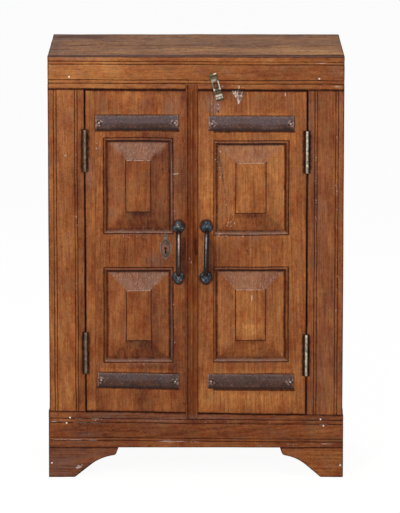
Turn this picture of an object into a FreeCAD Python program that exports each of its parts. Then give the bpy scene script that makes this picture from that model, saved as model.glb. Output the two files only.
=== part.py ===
import FreeCAD, Part
import math
import os

from FreeCAD import Placement, Rotation, Vector

# A small two door cabinet of teak boards with iron straps. All sizes are in millimetres.
# X runs to the right, Y runs from the front to the back and Z runs up.
# The origin lies on the ground under the middle of the whole piece, handles included.
# In the functions below a depth is counted backwards from the front face of the case.

# Overall sizes
plinth_width = 600.0
plinth_step = 2.0
case_height = 866.0
case_depth = 350.0

# Front frame: two rails across the whole width with two stiles tenoned between them
frame_board = 22.0
top_rail_height = 66.0
bottom_rail_height = 74.0
foot_height = 62.0
stile_width = 73.3
tenon_thickness = 8.0
tenon_length = 34.0
tenon_shoulder = 11.0
mortise_spare = 1.0
top_arris_radius = 2.5

# Quirks, the V grooves run along the boards in pairs
quirk_width = 2.6
quirk_depth = 1.8
top_rail_upper_quirks = (9.0, 15.0)
top_rail_lower_quirks = (12.4, 19.6)
bottom_rail_upper_quirks = (15.3, 23.7)
bottom_rail_lower_quirks = (13.0, 19.0)
stile_outer_quirks = (11.4, 17.0)
stile_inner_quirks = (14.2, 19.6)

# Bracket feet
left_bracket_length = 142.0
left_bracket_toe = 53.0
right_bracket_length = 129.0
right_bracket_toe = 46.0
side_bracket_length = 110.0
side_bracket_toe = 44.0
foot_block_size = 24.0
bracket_lip_radius = 5.0
# Points of the bracket's lower edge, as shares of the length past the toe and of the height
bracket_lip_shares = (0.933, 0.752)
bracket_arch_shares = ((0.843, 0.726), (0.6, 0.622), (0.365, 0.419))

# Sides: frame and fielded panel
side_board = 20.0
side_stile_width = 62.0
side_tenon_length = 30.0
side_tenon_shoulder = 14.0
panel_tongue_thickness = 6.0
panel_tongue_length = 8.0
panel_groove_spare = 1.0
panel_fit = 0.1
panel_edge_gap = 1.0
panel_bevel_rise = 3.6

# Top, back, floor and shelf
top_board = 18.0
top_joint_share = 0.46
back_board = 12.0
back_plank_count = 4
back_plank_gap = 0.6
back_rail_thickness = 18.0
back_top_rail_height = 60.0
floor_board_thickness = 16.0
floor_drop = 2.0
shelf_thickness = 16.0
shelf_rise = 294.0
shelf_front_gap = 1.2
cleat_size = 18.0

# Doors
door_board = 24.0
side_gap = 2.0
head_gap = 1.6
meeting_offset = 4.4
meeting_gap = 2.0
meeting_bevel = 1.5
left_joint_from_hinge = 19.1
right_joint_from_meeting = 29.6
board_tongue = 6.0
board_tongue_thickness = 7.0

# Carving: a sloped moulding sunk round a raised field with a bevelled margin
moulding_width = 9.6
moulding_drop = 7.0
bevel_width = 36.5
bevel_rise = 4.4
field_step = 1.6
carving_hinge_margin = 35.7
left_carving_meeting_margin = 48.4
right_carving_meeting_margin = 29.1
# Each carving: its distance from the door's near end and its height
left_upper_drop = 97.1
left_upper_height = 197.9
left_lower_rise = 100.6
left_lower_height = 196.5
right_upper_drop = 102.0
right_upper_height = 195.5
right_lower_rise = 101.6
right_lower_height = 196.6

# Astragal on the left door's meeting edge
astragal_width = 24.0
astragal_height = 14.0
astragal_top_lap = 8.4
astragal_bottom_lap = 12.6
astragal_end_bevel = 13.0
astragal_fillet_shares = ((0.0, 0.3), (0.12, 0.36))
astragal_cove_shares = ((0.16, 0.3), (0.33, 0.5), (0.43, 0.92))
astragal_ridge_shares = (0.5, 1.0)

# Iron straps across the doors
strap_height = 31.0
strap_thickness = 4.5
strap_edge_thickness = 1.6
strap_nail_inset = 7.0
strap_nail_length = 20.0
strap_nail_radius = 1.6
strap_nail_head_radius = 3.2
strap_nail_head = 1.0
left_upper_strap_margins = (18.1, 37.1)
left_upper_strap_drop = 66.4
left_lower_strap_margins = (23.1, 38.4)
left_lower_strap_rise = 64.6
left_lower_strap_tilt = 1.3
right_upper_strap_margins = (25.3, 19.9)
right_upper_strap_drop = 68.2
right_lower_strap_margins = (24.1, 18.0)
right_lower_strap_rise = 62.8
right_lower_strap_tilt = 0.3

# Bow handles
handle_reach = 33.0
bow_radius = 5.0
bow_bend = 17.0
leaf_pitch = 104.0
leaf_leg_inset = 9.0
leaf_thickness = 2.2
leaf_lobe_radius = 6.8
leaf_lobe_spread = 5.6
leaf_lobe_rise = 6.6
leaf_neck_radius = 6.2
handle_height_on_door = 329.8
left_handle_margin = 39.0
right_handle_margin = 15.4
right_handle_tilt = 1.2
handle_screw_radius = 1.8
handle_screw_length = 18.0
handle_screw_head_radius = 3.4
handle_screw_head = 1.2

# Lock, keyhole and keeper
lock_backset = 64.7
lock_height_on_door = 337.6
escutcheon_width = 24.0
escutcheon_height = 45.0
escutcheon_thickness = 1.4
escutcheon_finial_radius = 5.0
escutcheon_finial_rise = 3.0
escutcheon_pin_inset = 5.0
escutcheon_pin_radius = 1.0
escutcheon_pin_head_radius = 1.8
escutcheon_pin_head = 0.6
escutcheon_pin_length = 10.0
keyhole_radius = 2.6
keyhole_slot_width = 2.6
keyhole_slot_length = 11.0
lock_width = 80.0
lock_height = 56.0
lock_depth = 12.0
lock_wall = 1.5
lock_edge_gap = 3.5
lock_screw_inset = 7.0
lock_screw_radius = 1.7
lock_screw_head_radius = 3.0
lock_screw_head = 1.4
lock_screw_grip = 12.0
bolt_length = 46.0
bolt_height = 14.0
bolt_thickness = 6.0
bolt_throw = 14.0
bolt_fit = 0.2
bolt_guide_length = 26.0
bolt_guide_height = 3.0
keeper_edge_gap = 2.0
keeper_length = 20.0
keeper_wall = 2.0
keeper_flange = 8.0
keeper_fit = 0.6

# Butt hinges, sunk in the side gaps with their knuckles showing
hinge_length = 85.0
hinge_knuckles = 5
hinge_knuckle_radius = 3.5
hinge_knuckle_gap = 0.3
hinge_proud = 1.0
hinge_leaf_thickness = 2.0
hinge_leaf_gap = 0.15
hinge_leaf_depth = 20.0
hinge_pin_radius = 1.6
hinge_pin_fit = 0.05
hinge_sweep_gap = 0.3
hinge_recess_fit = 0.1
hinge_notch_half = 7.0
hinge_notch_depth = 5.0
hinge_notch_spare = 1.0
left_hinge_drop = 123.6
left_hinge_rise = 121.8
right_hinge_drop = 126.7
right_hinge_rise = 116.6

# Hasp on the right door, set askew, with a staple on the top rail
hasp_margin = 38.6
hasp_drop = 4.6
hasp_tilt = 16.0
hasp_width = 15.0
hasp_leaf_length = 18.0
hasp_leaf_thickness = 1.6
hasp_strap_length = 37.0
hasp_strap_thickness = 2.0
hasp_wall_gap = 0.4
hasp_knuckle_radius = 3.0
hasp_knuckle_gap = 0.3
hasp_knuckle_share = 0.36
hasp_pin_radius = 1.3
hasp_pin_fit = 0.05
hasp_sweep_gap = 0.3
hasp_slot_width = 9.0
hasp_slot_length = 13.5
hasp_slot_start = 8.0
hasp_curl_radius = 2.6
hasp_screw_radius = 1.0
hasp_screw_length = 12.0
hasp_screw_head_radius = 2.1
hasp_screw_head = 0.9
hasp_screw_inset = 4.2
staple_wire = 2.4
staple_length = 11.0
staple_projection = 12.0
staple_leg = 14.0

# Nails that pin the tenons and hold the feet
nail_radius = 1.5
nail_head_radius = 2.5
nail_head_depth = 1.0
nail_proud = 0.3
nail_length = 19.0
# Side, end, share of the stile's width from outside and share of the tenon's length
tenon_nail_shares = (
    (-1, 1, 0.614, 0.73),
    (1, 1, 0.71, 0.61),
    (-1, -1, 0.587, 0.38),
    (-1, -1, 0.491, 0.71),
    (1, -1, 0.628, 0.49),
    (1, -1, 0.546, 0.88),
)
# Side and share of the foot's height
foot_nail_shares = ((-1, 0.46), (1, 0.38))
foot_nail_inset = 7.5

# How far a cutter runs past the face that it cuts
overrun = 3.0

# Places worked out from the sizes above
plinth_half = plinth_width / 2
case_half = plinth_half - plinth_step
inner_half = case_half - side_board
front = handle_reach - (case_depth + handle_reach) / 2
opening_half = case_half - stile_width
opening_bottom = foot_height + bottom_rail_height
opening_top = case_height - top_rail_height
top_underside = case_height - top_board
door_bottom = opening_bottom + head_gap
door_top = opening_top - head_gap
left_door_x = (side_gap - opening_half, meeting_offset - meeting_gap / 2)
right_door_x = (meeting_offset + meeting_gap / 2, opening_half - side_gap)
hinge_x = opening_half - side_gap / 2
floor_top = opening_bottom - floor_drop
shelf_top = opening_bottom + shelf_rise
tongue_inset = (side_board - panel_tongue_thickness) / 2
lock_z = door_bottom + lock_height_on_door
keyhole_x = left_door_x[1] - lock_backset
lock_right = left_door_x[1] - lock_edge_gap
left_handle_x = left_door_x[1] - left_handle_margin
right_handle_x = right_door_x[0] + right_handle_margin
handle_z = door_bottom + handle_height_on_door
hasp_x = right_door_x[0] + hasp_margin
hasp_z = door_top - hasp_drop
outward = Vector(0, -1, 0)
up = Vector(0, 0, 1)


def block(x0, x1, depth0, depth1, z0, z1):
    """A box between two X values, two depths and two heights."""
    corner = Vector(min(x0, x1), front + depth0, z0)
    return Part.makeBox(abs(x1 - x0), depth1 - depth0, z1 - z0, corner)


def side_block(side, inset0, inset1, depth0, depth1, z0, z1):
    """A box whose insets are counted inwards from the left or right face of the case."""
    return block(side * (case_half - inset0), side * (case_half - inset1), depth0, depth1, z0, z1)


def rod(start, end, radius):
    """A round bar from one point to another."""
    run = end - start
    return Part.makeCylinder(radius, run.Length, start, run)


def prism(points, run):
    """A straight sided solid on a polygon."""
    return Part.Face(Part.makePolygon(points + points[:1])).extrude(run)


def loft(lower, upper):
    """A straight sided solid between two polygons with as many corners."""
    wires = [Part.makePolygon(points + points[:1]) for points in (lower, upper)]
    return Part.makeLoft(wires, True, True)


def join(first, *others):
    """One solid made of several that touch or overlap."""
    return first.fuse(list(others)).removeSplitter()


def edges_through(shape, points):
    """The edges of a shape that pass through any of the given points."""
    near = [Part.Vertex(point) for point in points]
    return [edge for edge in shape.Edges if any(edge.distToShape(v)[0] < hinge_pin_fit for v in near)]


def quirk(start, end, normal):
    """Cutter of one V groove from start to end, in a face with this outward normal."""
    run = end - start
    across = normal.cross(run).normalize() * (quirk_width / 2)
    lip = normal * overrun
    corners = [start + lip + across, start + across, start - normal * quirk_depth]
    corners += [start - across, start + lip - across]
    return prism(corners, run)


def rail_quirks(heights, half_width):
    """Grooves along a front rail, and on round both ends along the side rails."""
    cutters = []
    for z in heights:
        left = Vector(-half_width - overrun, front, z)
        right = Vector(half_width + overrun, front, z)
        cutters.append(quirk(left, right, outward))
        for side in (-1, 1):
            near = Vector(side * half_width, front - overrun, z)
            far = Vector(side * half_width, front + case_depth + overrun, z)
            cutters.append(quirk(near, far, Vector(side, 0, 0)))
    return cutters


def top_rail_heights():
    upper = [case_height - drop for drop in top_rail_upper_quirks]
    return upper + [opening_top + rise for rise in top_rail_lower_quirks]


def bottom_rail_heights():
    upper = [opening_bottom - drop for drop in bottom_rail_upper_quirks]
    return upper + [foot_height + rise for rise in bottom_rail_lower_quirks]


def stile_tenon(side, spare):
    """The tongue of a front stile that runs up and down into both rails."""
    near = (frame_board - tenon_thickness) / 2
    length = tenon_length + spare
    outer = side * (case_half - tenon_shoulder)
    inner = side * (opening_half + tenon_shoulder)
    return block(outer, inner, near, near + tenon_thickness, opening_bottom - length, opening_top + length)


def nail(point):
    """A cut nail driven straight back through the front, with its head near the face."""
    head = rod(point + outward * nail_proud, point - outward * nail_head_depth, nail_head_radius)
    return join(head, rod(point, point - outward * nail_length, nail_radius))


def nails():
    placed = []
    for side, end, across, along in tenon_nail_shares:
        x = side * (case_half - stile_width * across)
        z = opening_top + tenon_length * along if end > 0 else opening_bottom - tenon_length * along
        placed.append(nail(Vector(x, front, z)))
    return placed


def foot_nails():
    placed = []
    for side, up_share in foot_nail_shares:
        point = Vector(side * (plinth_half - foot_nail_inset), front, foot_height * up_share)
        placed.append(nail(point))
    return placed


def front_stile(side):
    shape = block(side * case_half, side * opening_half, 0, frame_board, opening_bottom, opening_top)
    shape = join(shape, stile_tenon(side, 0))
    cutters = list(nails())
    insets = [case_half - inset for inset in stile_outer_quirks]
    insets += [opening_half + inset for inset in stile_inner_quirks]
    for inset in insets:
        foot = Vector(side * inset, front, opening_bottom)
        cutters.append(quirk(foot, Vector(side * inset, front, opening_top), outward))
    cutters += [hinge_recess(side, z) for z in hinge_heights(side)]
    return shape.cut(cutters)


def front_top_rail():
    shape = block(-case_half, case_half, 0, frame_board, opening_top, case_height)
    arris = edges_through(shape, [Vector(0, front, case_height)])
    shape = shape.makeFillet(top_arris_radius, arris)
    cutters = [stile_tenon(side, mortise_spare) for side in (-1, 1)]
    cutters += rail_quirks(top_rail_heights(), case_half)
    return shape.cut(cutters + nails() + [staple()])


def front_bottom_rail():
    shape = block(-plinth_half, plinth_half, 0, frame_board, foot_height, opening_bottom)
    cutters = [stile_tenon(side, mortise_spare) for side in (-1, 1)]
    return shape.cut(cutters + rail_quirks(bottom_rail_heights(), plinth_half) + nails())


def bracket(corner, along, through, length, toe):
    """A bracket foot: a rounded lip, an arch and a straight toe, cut from a board under a rail."""
    def at(past_toe_share, up_share):
        return corner + along * (toe + (length - toe) * past_toe_share) + up * (foot_height * up_share)

    arch = [at(*shares) for shares in bracket_arch_shares]
    lip = at(*bracket_lip_shares)
    edges = [
        Part.LineSegment(corner, corner + up * foot_height),
        Part.LineSegment(corner + up * foot_height, at(1, 1)),
        Part.LineSegment(at(1, 1), lip),
        Part.LineSegment(lip, arch[0]),
        Part.Arc(*arch),
        Part.LineSegment(arch[-1], at(0, 0)),
        Part.LineSegment(at(0, 0), corner),
    ]
    shape = Part.Face(Part.Wire([edge.toShape() for edge in edges])).extrude(through)
    return shape.makeFillet(bracket_lip_radius, edges_through(shape, [lip + through / 2]))


def front_foot(side):
    length = left_bracket_length if side < 0 else right_bracket_length
    toe = left_bracket_toe if side < 0 else right_bracket_toe
    corner = Vector(side * plinth_half, front, 0)
    shape = bracket(corner, Vector(-side, 0, 0), Vector(0, frame_board, 0), length, toe)
    return shape.cut(foot_nails())


def side_feet(side):
    """The two brackets under one side, which face each other."""
    through = Vector(-side * (side_board + plinth_step), 0, 0)
    feet = []
    for depth, direction in ((frame_board, 1), (case_depth, -1)):
        corner = Vector(side * plinth_half, front + depth, 0)
        feet.append(bracket(corner, Vector(0, direction, 0), through, side_bracket_length, side_bracket_toe))
    return feet


def foot_blocks():
    """Square blocks glued into the four corners behind the brackets."""
    blocks = []
    for side in (-1, 1):
        for depth in (frame_board, case_depth - foot_block_size):
            far = side_board + foot_block_size
            blocks.append(side_block(side, side_board, far, depth, depth + foot_block_size, 0, foot_height))
    return blocks


def side_tenon(side, depth, spare):
    """The tongue of a side stile that starts at this depth."""
    near = (side_board - tenon_thickness) / 2
    length = side_tenon_length + spare
    start = depth + side_tenon_shoulder
    end = depth + side_stile_width - side_tenon_shoulder
    far = near + tenon_thickness
    return side_block(side, near, far, start, end, opening_bottom - length, opening_top + length)


def side_stile_depths():
    return (frame_board, case_depth - side_stile_width)


def panel_tongue(side, length, fit):
    """The thin border of a side panel, which runs this far into the frame round it."""
    near = frame_board + side_stile_width - length
    far = case_depth - side_stile_width + length
    inset = tongue_inset - fit
    end = inset + panel_tongue_thickness + 2 * fit
    return side_block(side, inset, end, near, far, opening_bottom - length, opening_top + length)


def side_rectangle(side, inset, margin):
    """Corners of a rectangle inside the side frame, this far in from the frame's edges."""
    x = side * (case_half - inset)
    near = front + frame_board + side_stile_width + margin
    far = front + case_depth - side_stile_width - margin
    low, high = opening_bottom + margin, opening_top - margin
    return [Vector(x, near, low), Vector(x, far, low), Vector(x, far, high), Vector(x, near, high)]


def side_panel(side):
    raised = tongue_inset - panel_bevel_rise
    margin = panel_edge_gap + bevel_width
    bevel = loft(side_rectangle(side, tongue_inset, panel_edge_gap), side_rectangle(side, raised, margin))
    step = Vector(side * field_step, 0, 0)
    field = prism(side_rectangle(side, raised, margin), step)
    return join(panel_tongue(side, panel_tongue_length, 0), bevel, field)


def side_stile(side, depth):
    far = depth + side_stile_width
    shape = side_block(side, 0, side_board, depth, far, opening_bottom, opening_top)
    shape = join(shape, side_tenon(side, depth, 0))
    groove = panel_tongue(side, panel_tongue_length + panel_groove_spare, panel_fit)
    return shape.cut([groove])


def side_top_rail(side):
    shape = side_block(side, 0, side_board, frame_board, case_depth, opening_top, top_underside)
    cutters = [side_tenon(side, depth, mortise_spare) for depth in side_stile_depths()]
    cutters.append(panel_tongue(side, panel_tongue_length + panel_groove_spare, panel_fit))
    return shape.cut(cutters + rail_quirks(top_rail_heights(), case_half))


def side_bottom_rail(side):
    shape = side_block(side, -plinth_step, side_board, frame_board, case_depth, foot_height, opening_bottom)
    cutters = [side_tenon(side, depth, mortise_spare) for depth in side_stile_depths()]
    cutters.append(panel_tongue(side, panel_tongue_length + panel_groove_spare, panel_fit))
    return shape.cut(cutters + rail_quirks(bottom_rail_heights(), plinth_half))


def top_boards():
    """Front and rear board of the top, butted behind the top rail."""
    joint = frame_board + (case_depth - frame_board) * top_joint_share
    halves = ((frame_board, joint), (joint, case_depth))
    return [block(-case_half, case_half, near, far, top_underside, case_height) for near, far in halves]


def back_boards():
    """Upright planks nailed on from behind, side by side between the side frames."""
    pitch = 2 * inner_half / back_plank_count
    planks = []
    for index in range(back_plank_count):
        left = -inner_half + pitch * index
        right = left + pitch - (back_plank_gap if index < back_plank_count - 1 else 0)
        planks.append(block(left, right, case_depth - back_board, case_depth, foot_height, top_underside))
    return planks


def back_rail(z0, z1):
    far = case_depth - back_board
    return block(-inner_half, inner_half, far - back_rail_thickness, far, z0, z1)


def back_top_rail():
    return back_rail(top_underside - back_top_rail_height, top_underside)


def back_bottom_rail():
    return back_rail(foot_height, floor_top - floor_board_thickness)


def floor_board():
    low = floor_top - floor_board_thickness
    return block(-inner_half, inner_half, frame_board, case_depth - back_board, low, floor_top)


def shelf_board():
    near = door_board + shelf_front_gap
    return block(-inner_half, inner_half, near, case_depth - back_board, shelf_top - shelf_thickness, shelf_top)


def cleats(top, far):
    """A pair of battens, one on each side, with their tops at this height."""
    inner = side_board + cleat_size
    return [side_block(side, side_board, inner, frame_board, far, top - cleat_size, top) for side in (-1, 1)]


def door_rectangle(x0, x1, z0, z1, margin, depth):
    """Corners of a rectangle on a door, this far inside the given bounds."""
    left, right = x0 + margin, x1 - margin
    low, high = z0 + margin, z1 - margin
    y = front + depth
    return [Vector(left, y, low), Vector(right, y, low), Vector(right, y, high), Vector(left, y, high)]


def carving(x0, x1, z0, z1):
    """Cutter that sinks one moulding and leaves the raised field standing inside it."""
    grow = moulding_width * overrun / moulding_drop
    mouth = door_rectangle(x0, x1, z0, z1, -grow, -overrun)
    bed = door_rectangle(x0, x1, z0, z1, moulding_width, moulding_drop)
    bevel_foot = door_rectangle(x0, x1, z0, z1, moulding_width, moulding_drop)
    field_edge = moulding_width + bevel_width
    bevel_head = door_rectangle(x0, x1, z0, z1, field_edge, moulding_drop - bevel_rise)
    field = prism(bevel_head, outward * field_step)
    return loft(mouth, bed).cut([loft(bevel_foot, bevel_head), field])


def left_carvings():
    x0 = left_door_x[0] + carving_hinge_margin
    x1 = left_door_x[1] - left_carving_meeting_margin
    upper_top = door_top - left_upper_drop
    lower_foot = door_bottom + left_lower_rise
    upper = carving(x0, x1, upper_top - left_upper_height, upper_top)
    return [upper, carving(x0, x1, lower_foot, lower_foot + left_lower_height)]


def right_carvings():
    x0 = right_door_x[0] + right_carving_meeting_margin
    x1 = right_door_x[1] - carving_hinge_margin
    upper_top = door_top - right_upper_drop
    lower_foot = door_bottom + right_lower_rise
    upper = carving(x0, x1, upper_top - right_upper_height, upper_top)
    return [upper, carving(x0, x1, lower_foot, lower_foot + right_lower_height)]


def meeting_bevel_cut(x, side):
    """Cutter that eases the back arris of a meeting edge, so that one door swings past the other."""
    far = front + door_board + overrun
    inner = x + side * meeting_bevel
    outer = x - side * overrun
    points = [Vector(x, front, door_bottom), Vector(inner, front + door_board, door_bottom)]
    points += [Vector(inner, far, door_bottom), Vector(outer, far, door_bottom), Vector(outer, front, door_bottom)]
    return prism(points, up * (door_top - door_bottom))


def tongue(x, side, z0, z1):
    """The tongue of a door's narrow board at a joint, pointing to this side."""
    near = (door_board - board_tongue_thickness) / 2
    return block(x, x + side * board_tongue, near, near + board_tongue_thickness, z0, z1)


def left_door_cutters():
    cutters = left_carvings() + [hinge_recess(-1, z) for z in hinge_heights(-1)]
    cutters += [meeting_bevel_cut(left_door_x[1], -1), keyhole(0, door_board)]
    cutters += left_strap_nails() + handle_screws(left_handle_x, 0) + escutcheon_pins() + lock_screws()
    return cutters


def right_door_cutters():
    cutters = right_carvings() + [hinge_recess(1, z) for z in hinge_heights(1)]
    cutters += [meeting_bevel_cut(right_door_x[0], 1)]
    cutters += right_strap_nails() + handle_screws(right_handle_x, right_handle_tilt) + hasp_screws()
    return cutters


def left_door_wide_board():
    joint = left_door_x[0] + left_joint_from_hinge
    shape = block(joint, left_door_x[1], 0, door_board, door_bottom, door_top)
    return shape.cut(left_door_cutters() + [tongue(joint, 1, door_bottom, door_top)])


def left_door_narrow_board():
    joint = left_door_x[0] + left_joint_from_hinge
    shape = block(left_door_x[0], joint, 0, door_board, door_bottom, door_top)
    return join(shape, tongue(joint, 1, door_bottom, door_top)).cut(left_door_cutters())


def right_door_wide_board():
    joint = right_door_x[0] + right_joint_from_meeting
    shape = block(joint, right_door_x[1], 0, door_board, door_bottom, door_top)
    return shape.cut(right_door_cutters() + [tongue(joint, 1, door_bottom, door_top)])


def right_door_narrow_board():
    joint = right_door_x[0] + right_joint_from_meeting
    shape = block(right_door_x[0], joint, 0, door_board, door_bottom, door_top)
    return join(shape, tongue(joint, 1, door_bottom, door_top)).cut(right_door_cutters())


def astragal():
    """The ridged strip on the left door, which laps over both rails and has sloped ends."""
    right = left_door_x[1]
    left = right - astragal_width
    low, high = opening_bottom - astragal_bottom_lap, opening_top + astragal_top_lap

    def at(x_share, rise_share, mirrored=False):
        x = right - astragal_width * x_share if mirrored else left + astragal_width * x_share
        return Vector(x, front - astragal_height * rise_share, low)

    edges = [Part.LineSegment(Vector(right, front, low), Vector(left, front, low))]
    for mirrored in (False, True):
        fillet = [at(*shares, mirrored) for shares in astragal_fillet_shares]
        cove = [at(*shares, mirrored) for shares in astragal_cove_shares]
        edges.append(Part.LineSegment(at(0, 0, mirrored), fillet[0]))
        edges.append(Part.LineSegment(fillet[0], fillet[1]))
        edges.append(Part.LineSegment(fillet[1], cove[0]))
        edges.append(Part.Arc(*cove))
        edges.append(Part.LineSegment(cove[-1], at(*astragal_ridge_shares)))
    wire = Part.Wire(Part.__sortEdges__([edge.toShape() for edge in edges]))
    shape = Part.Face(wire).extrude(up * (high - low))
    shoulder = astragal_height * astragal_fillet_shares[0][1]
    for end, direction in ((low, 1), (high, -1)):
        slope = astragal_end_bevel / (astragal_height - shoulder)
        top_y = front - astragal_height - overrun
        base = Vector(left - overrun, front - shoulder, end)
        tip = Vector(left - overrun, top_y, end + direction * slope * (front - shoulder - top_y))
        corner = Vector(left - overrun, top_y, end - direction * overrun)
        heel = Vector(left - overrun, front - shoulder, end - direction * overrun)
        wedge = prism([base, tip, corner, heel], Vector(astragal_width + 2 * overrun, 0, 0))
        shape = shape.cut([wedge])
    return shape


def tilted(shape, centre, degrees):
    """The same shape turned in the plane of the front, to the right at its top if positive."""
    turned = shape.copy()
    turned.rotate(centre, Vector(0, 1, 0), degrees)
    return turned


def strap_frame(door_x, margins, z, side):
    """Left and right end of a strap, and the middle that it is tilted about."""
    hinge_margin, meeting_margin = margins
    first, last = (hinge_margin, meeting_margin) if side < 0 else (meeting_margin, hinge_margin)
    left, right = door_x[0] + first, door_x[1] - last
    return left, right, Vector((left + right) / 2, front, z)


def strap_places():
    """Ends, middle and tilt of every strap."""
    return {
        "left_upper": strap_frame(left_door_x, left_upper_strap_margins, door_top - left_upper_strap_drop, -1)
        + (0,),
        "left_lower": strap_frame(left_door_x, left_lower_strap_margins, door_bottom + left_lower_strap_rise, -1)
        + (left_lower_strap_tilt,),
        "right_upper": strap_frame(right_door_x, right_upper_strap_margins, door_top - right_upper_strap_drop, 1)
        + (0,),
        "right_lower": strap_frame(right_door_x, right_lower_strap_margins, door_bottom + right_lower_strap_rise, 1)
        + (right_lower_strap_tilt,),
    }


def strap_nails(name):
    left, right, centre, tilt = strap_places()[name]
    placed = []
    for x in (left + strap_nail_inset, right - strap_nail_inset):
        point = Vector(x, front, centre.z)
        crown = point + outward * strap_thickness
        head = rod(crown + outward * strap_nail_head, crown, strap_nail_head_radius)
        end = crown - outward * strap_nail_length
        placed.append(tilted(join(head, rod(crown, end, strap_nail_radius)), centre, tilt))
    return placed


def left_strap_nails():
    return strap_nails("left_upper") + strap_nails("left_lower")


def right_strap_nails():
    return strap_nails("right_upper") + strap_nails("right_lower")


def strap(name):
    """An iron strap, flat behind and rounded in front."""
    left, right, centre, tilt = strap_places()[name]
    low = Vector(left, front, centre.z - strap_height / 2)
    high = low + up * strap_height
    edge = outward * strap_edge_thickness
    crown = Vector(left, front - strap_thickness, centre.z)
    edges = [
        Part.LineSegment(low, low + edge),
        Part.Arc(low + edge, crown, high + edge),
        Part.LineSegment(high + edge, high),
        Part.LineSegment(high, low),
    ]
    wire = Part.Wire([each.toShape() for each in edges])
    shape = Part.Face(wire).extrude(Vector(right - left, 0, 0))
    return tilted(shape, centre, tilt).cut(strap_nails(name))


def handle_centre(x):
    return Vector(x, front, handle_z)


def handle_screws(x, tilt):
    placed = []
    for end in (-1, 1):
        face = Vector(x, front - leaf_thickness, handle_z + end * leaf_pitch / 2)
        head = rod(face + outward * handle_screw_head, face, handle_screw_head_radius)
        tip = face - outward * handle_screw_length
        placed.append(tilted(join(head, rod(face, tip, handle_screw_radius)), handle_centre(x), tilt))
    return placed


def leaf(x, end):
    """One trefoil plate of a handle, pointing away from the bow."""
    middle = handle_z + end * leaf_pitch / 2
    lobes = [
        (0, end * leaf_lobe_rise, leaf_lobe_radius),
        (-leaf_lobe_spread, -end * leaf_lobe_rise / 2, leaf_lobe_radius),
        (leaf_lobe_spread, -end * leaf_lobe_rise / 2, leaf_lobe_radius),
        (0, -end * leaf_leg_inset, leaf_neck_radius),
    ]
    discs = []
    for dx, dz, radius in lobes:
        face = Vector(x + dx, front, middle + dz)
        discs.append(rod(face, face + outward * leaf_thickness, radius))
    return join(*discs)


def handle(x, tilt):
    """A round iron bow that grows out of two leaves."""
    half = leaf_pitch / 2 - leaf_leg_inset
    line = handle_reach - bow_radius
    feet = [Vector(x, front, handle_z + end * half) for end in (-1, 1)]
    turns = []
    for foot, end in zip(feet, (-1, 1)):
        out = foot + outward * (line - bow_bend)
        corner_centre = out - up * (end * bow_bend)
        knee = corner_centre + (outward + up * end) * (bow_bend * math.sqrt(0.5))
        turns.append((out, knee, corner_centre + outward * bow_bend))
    edges = [
        Part.LineSegment(feet[0], turns[0][0]),
        Part.Arc(*turns[0]),
        Part.LineSegment(turns[0][2], turns[1][2]),
        Part.Arc(turns[1][2], turns[1][1], turns[1][0]),
        Part.LineSegment(turns[1][0], feet[1]),
    ]
    path = Part.Wire([edge.toShape() for edge in edges])
    section = Part.Wire([Part.Circle(feet[0], outward, bow_radius).toShape()])
    bow = path.makePipeShell([section], True, False)
    shape = join(bow, leaf(x, -1), leaf(x, 1))
    return tilted(shape, handle_centre(x), tilt).cut(handle_screws(x, tilt))


def keyhole(depth0, depth1):
    """Cutter of the keyhole between two depths."""
    eye = Vector(keyhole_x, front + depth0, lock_z)
    hole = rod(eye, Vector(keyhole_x, front + depth1, lock_z), keyhole_radius)
    half = keyhole_slot_width / 2
    slot = block(keyhole_x - half, keyhole_x + half, depth0, depth1, lock_z - keyhole_slot_length, lock_z)
    return join(hole, slot)


def finial_z():
    return lock_z + escutcheon_height / 2 + escutcheon_finial_rise


def escutcheon_pins():
    placed = []
    for z in (lock_z - escutcheon_height / 2 + escutcheon_pin_inset, finial_z()):
        face = Vector(keyhole_x, front - escutcheon_thickness, z)
        head = rod(face + outward * escutcheon_pin_head, face, escutcheon_pin_head_radius)
        placed.append(join(head, rod(face, face - outward * escutcheon_pin_length, escutcheon_pin_radius)))
    return placed


def escutcheon():
    """An almond shaped plate round the keyhole, with a round finial on top."""
    foot = Vector(keyhole_x, front, lock_z - escutcheon_height / 2)
    head = foot + up * escutcheon_height
    sides = []
    for side in (-1, 1):
        flank = Vector(keyhole_x + side * escutcheon_width / 2, front, lock_z)
        sides.append(Part.Arc(foot, flank, head).toShape())
    plate = Part.Face(Part.Wire(Part.__sortEdges__(sides))).extrude(outward * escutcheon_thickness)
    finial = Vector(keyhole_x, front, finial_z())
    plate = join(plate, rod(finial, finial + outward * escutcheon_thickness, escutcheon_finial_radius))
    return plate.cut([keyhole(-escutcheon_thickness - overrun, overrun)] + escutcheon_pins())


def bolt(fit, right):
    """The lock's bolt with this much air round it, up to this right end."""
    middle = door_board + lock_depth / 2
    half = bolt_thickness / 2 + fit
    tall = bolt_height / 2 + fit
    left = lock_right - bolt_length
    return block(left, right, middle - half, middle + half, lock_z - tall, lock_z + tall)


def lock_screws():
    placed = []
    face_y = front + door_board + lock_depth
    for x in (lock_right - lock_width + lock_screw_inset, lock_right - lock_screw_inset):
        for end in (-1, 1):
            z = lock_z + end * (lock_height / 2 - lock_screw_inset)
            face = Vector(x, face_y, z)
            head = rod(face, face - outward * lock_screw_head, lock_screw_head_radius)
            tip = face + outward * (lock_depth + lock_screw_grip)
            placed.append(join(head, rod(face, tip, lock_screw_radius)))
    return placed


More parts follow.
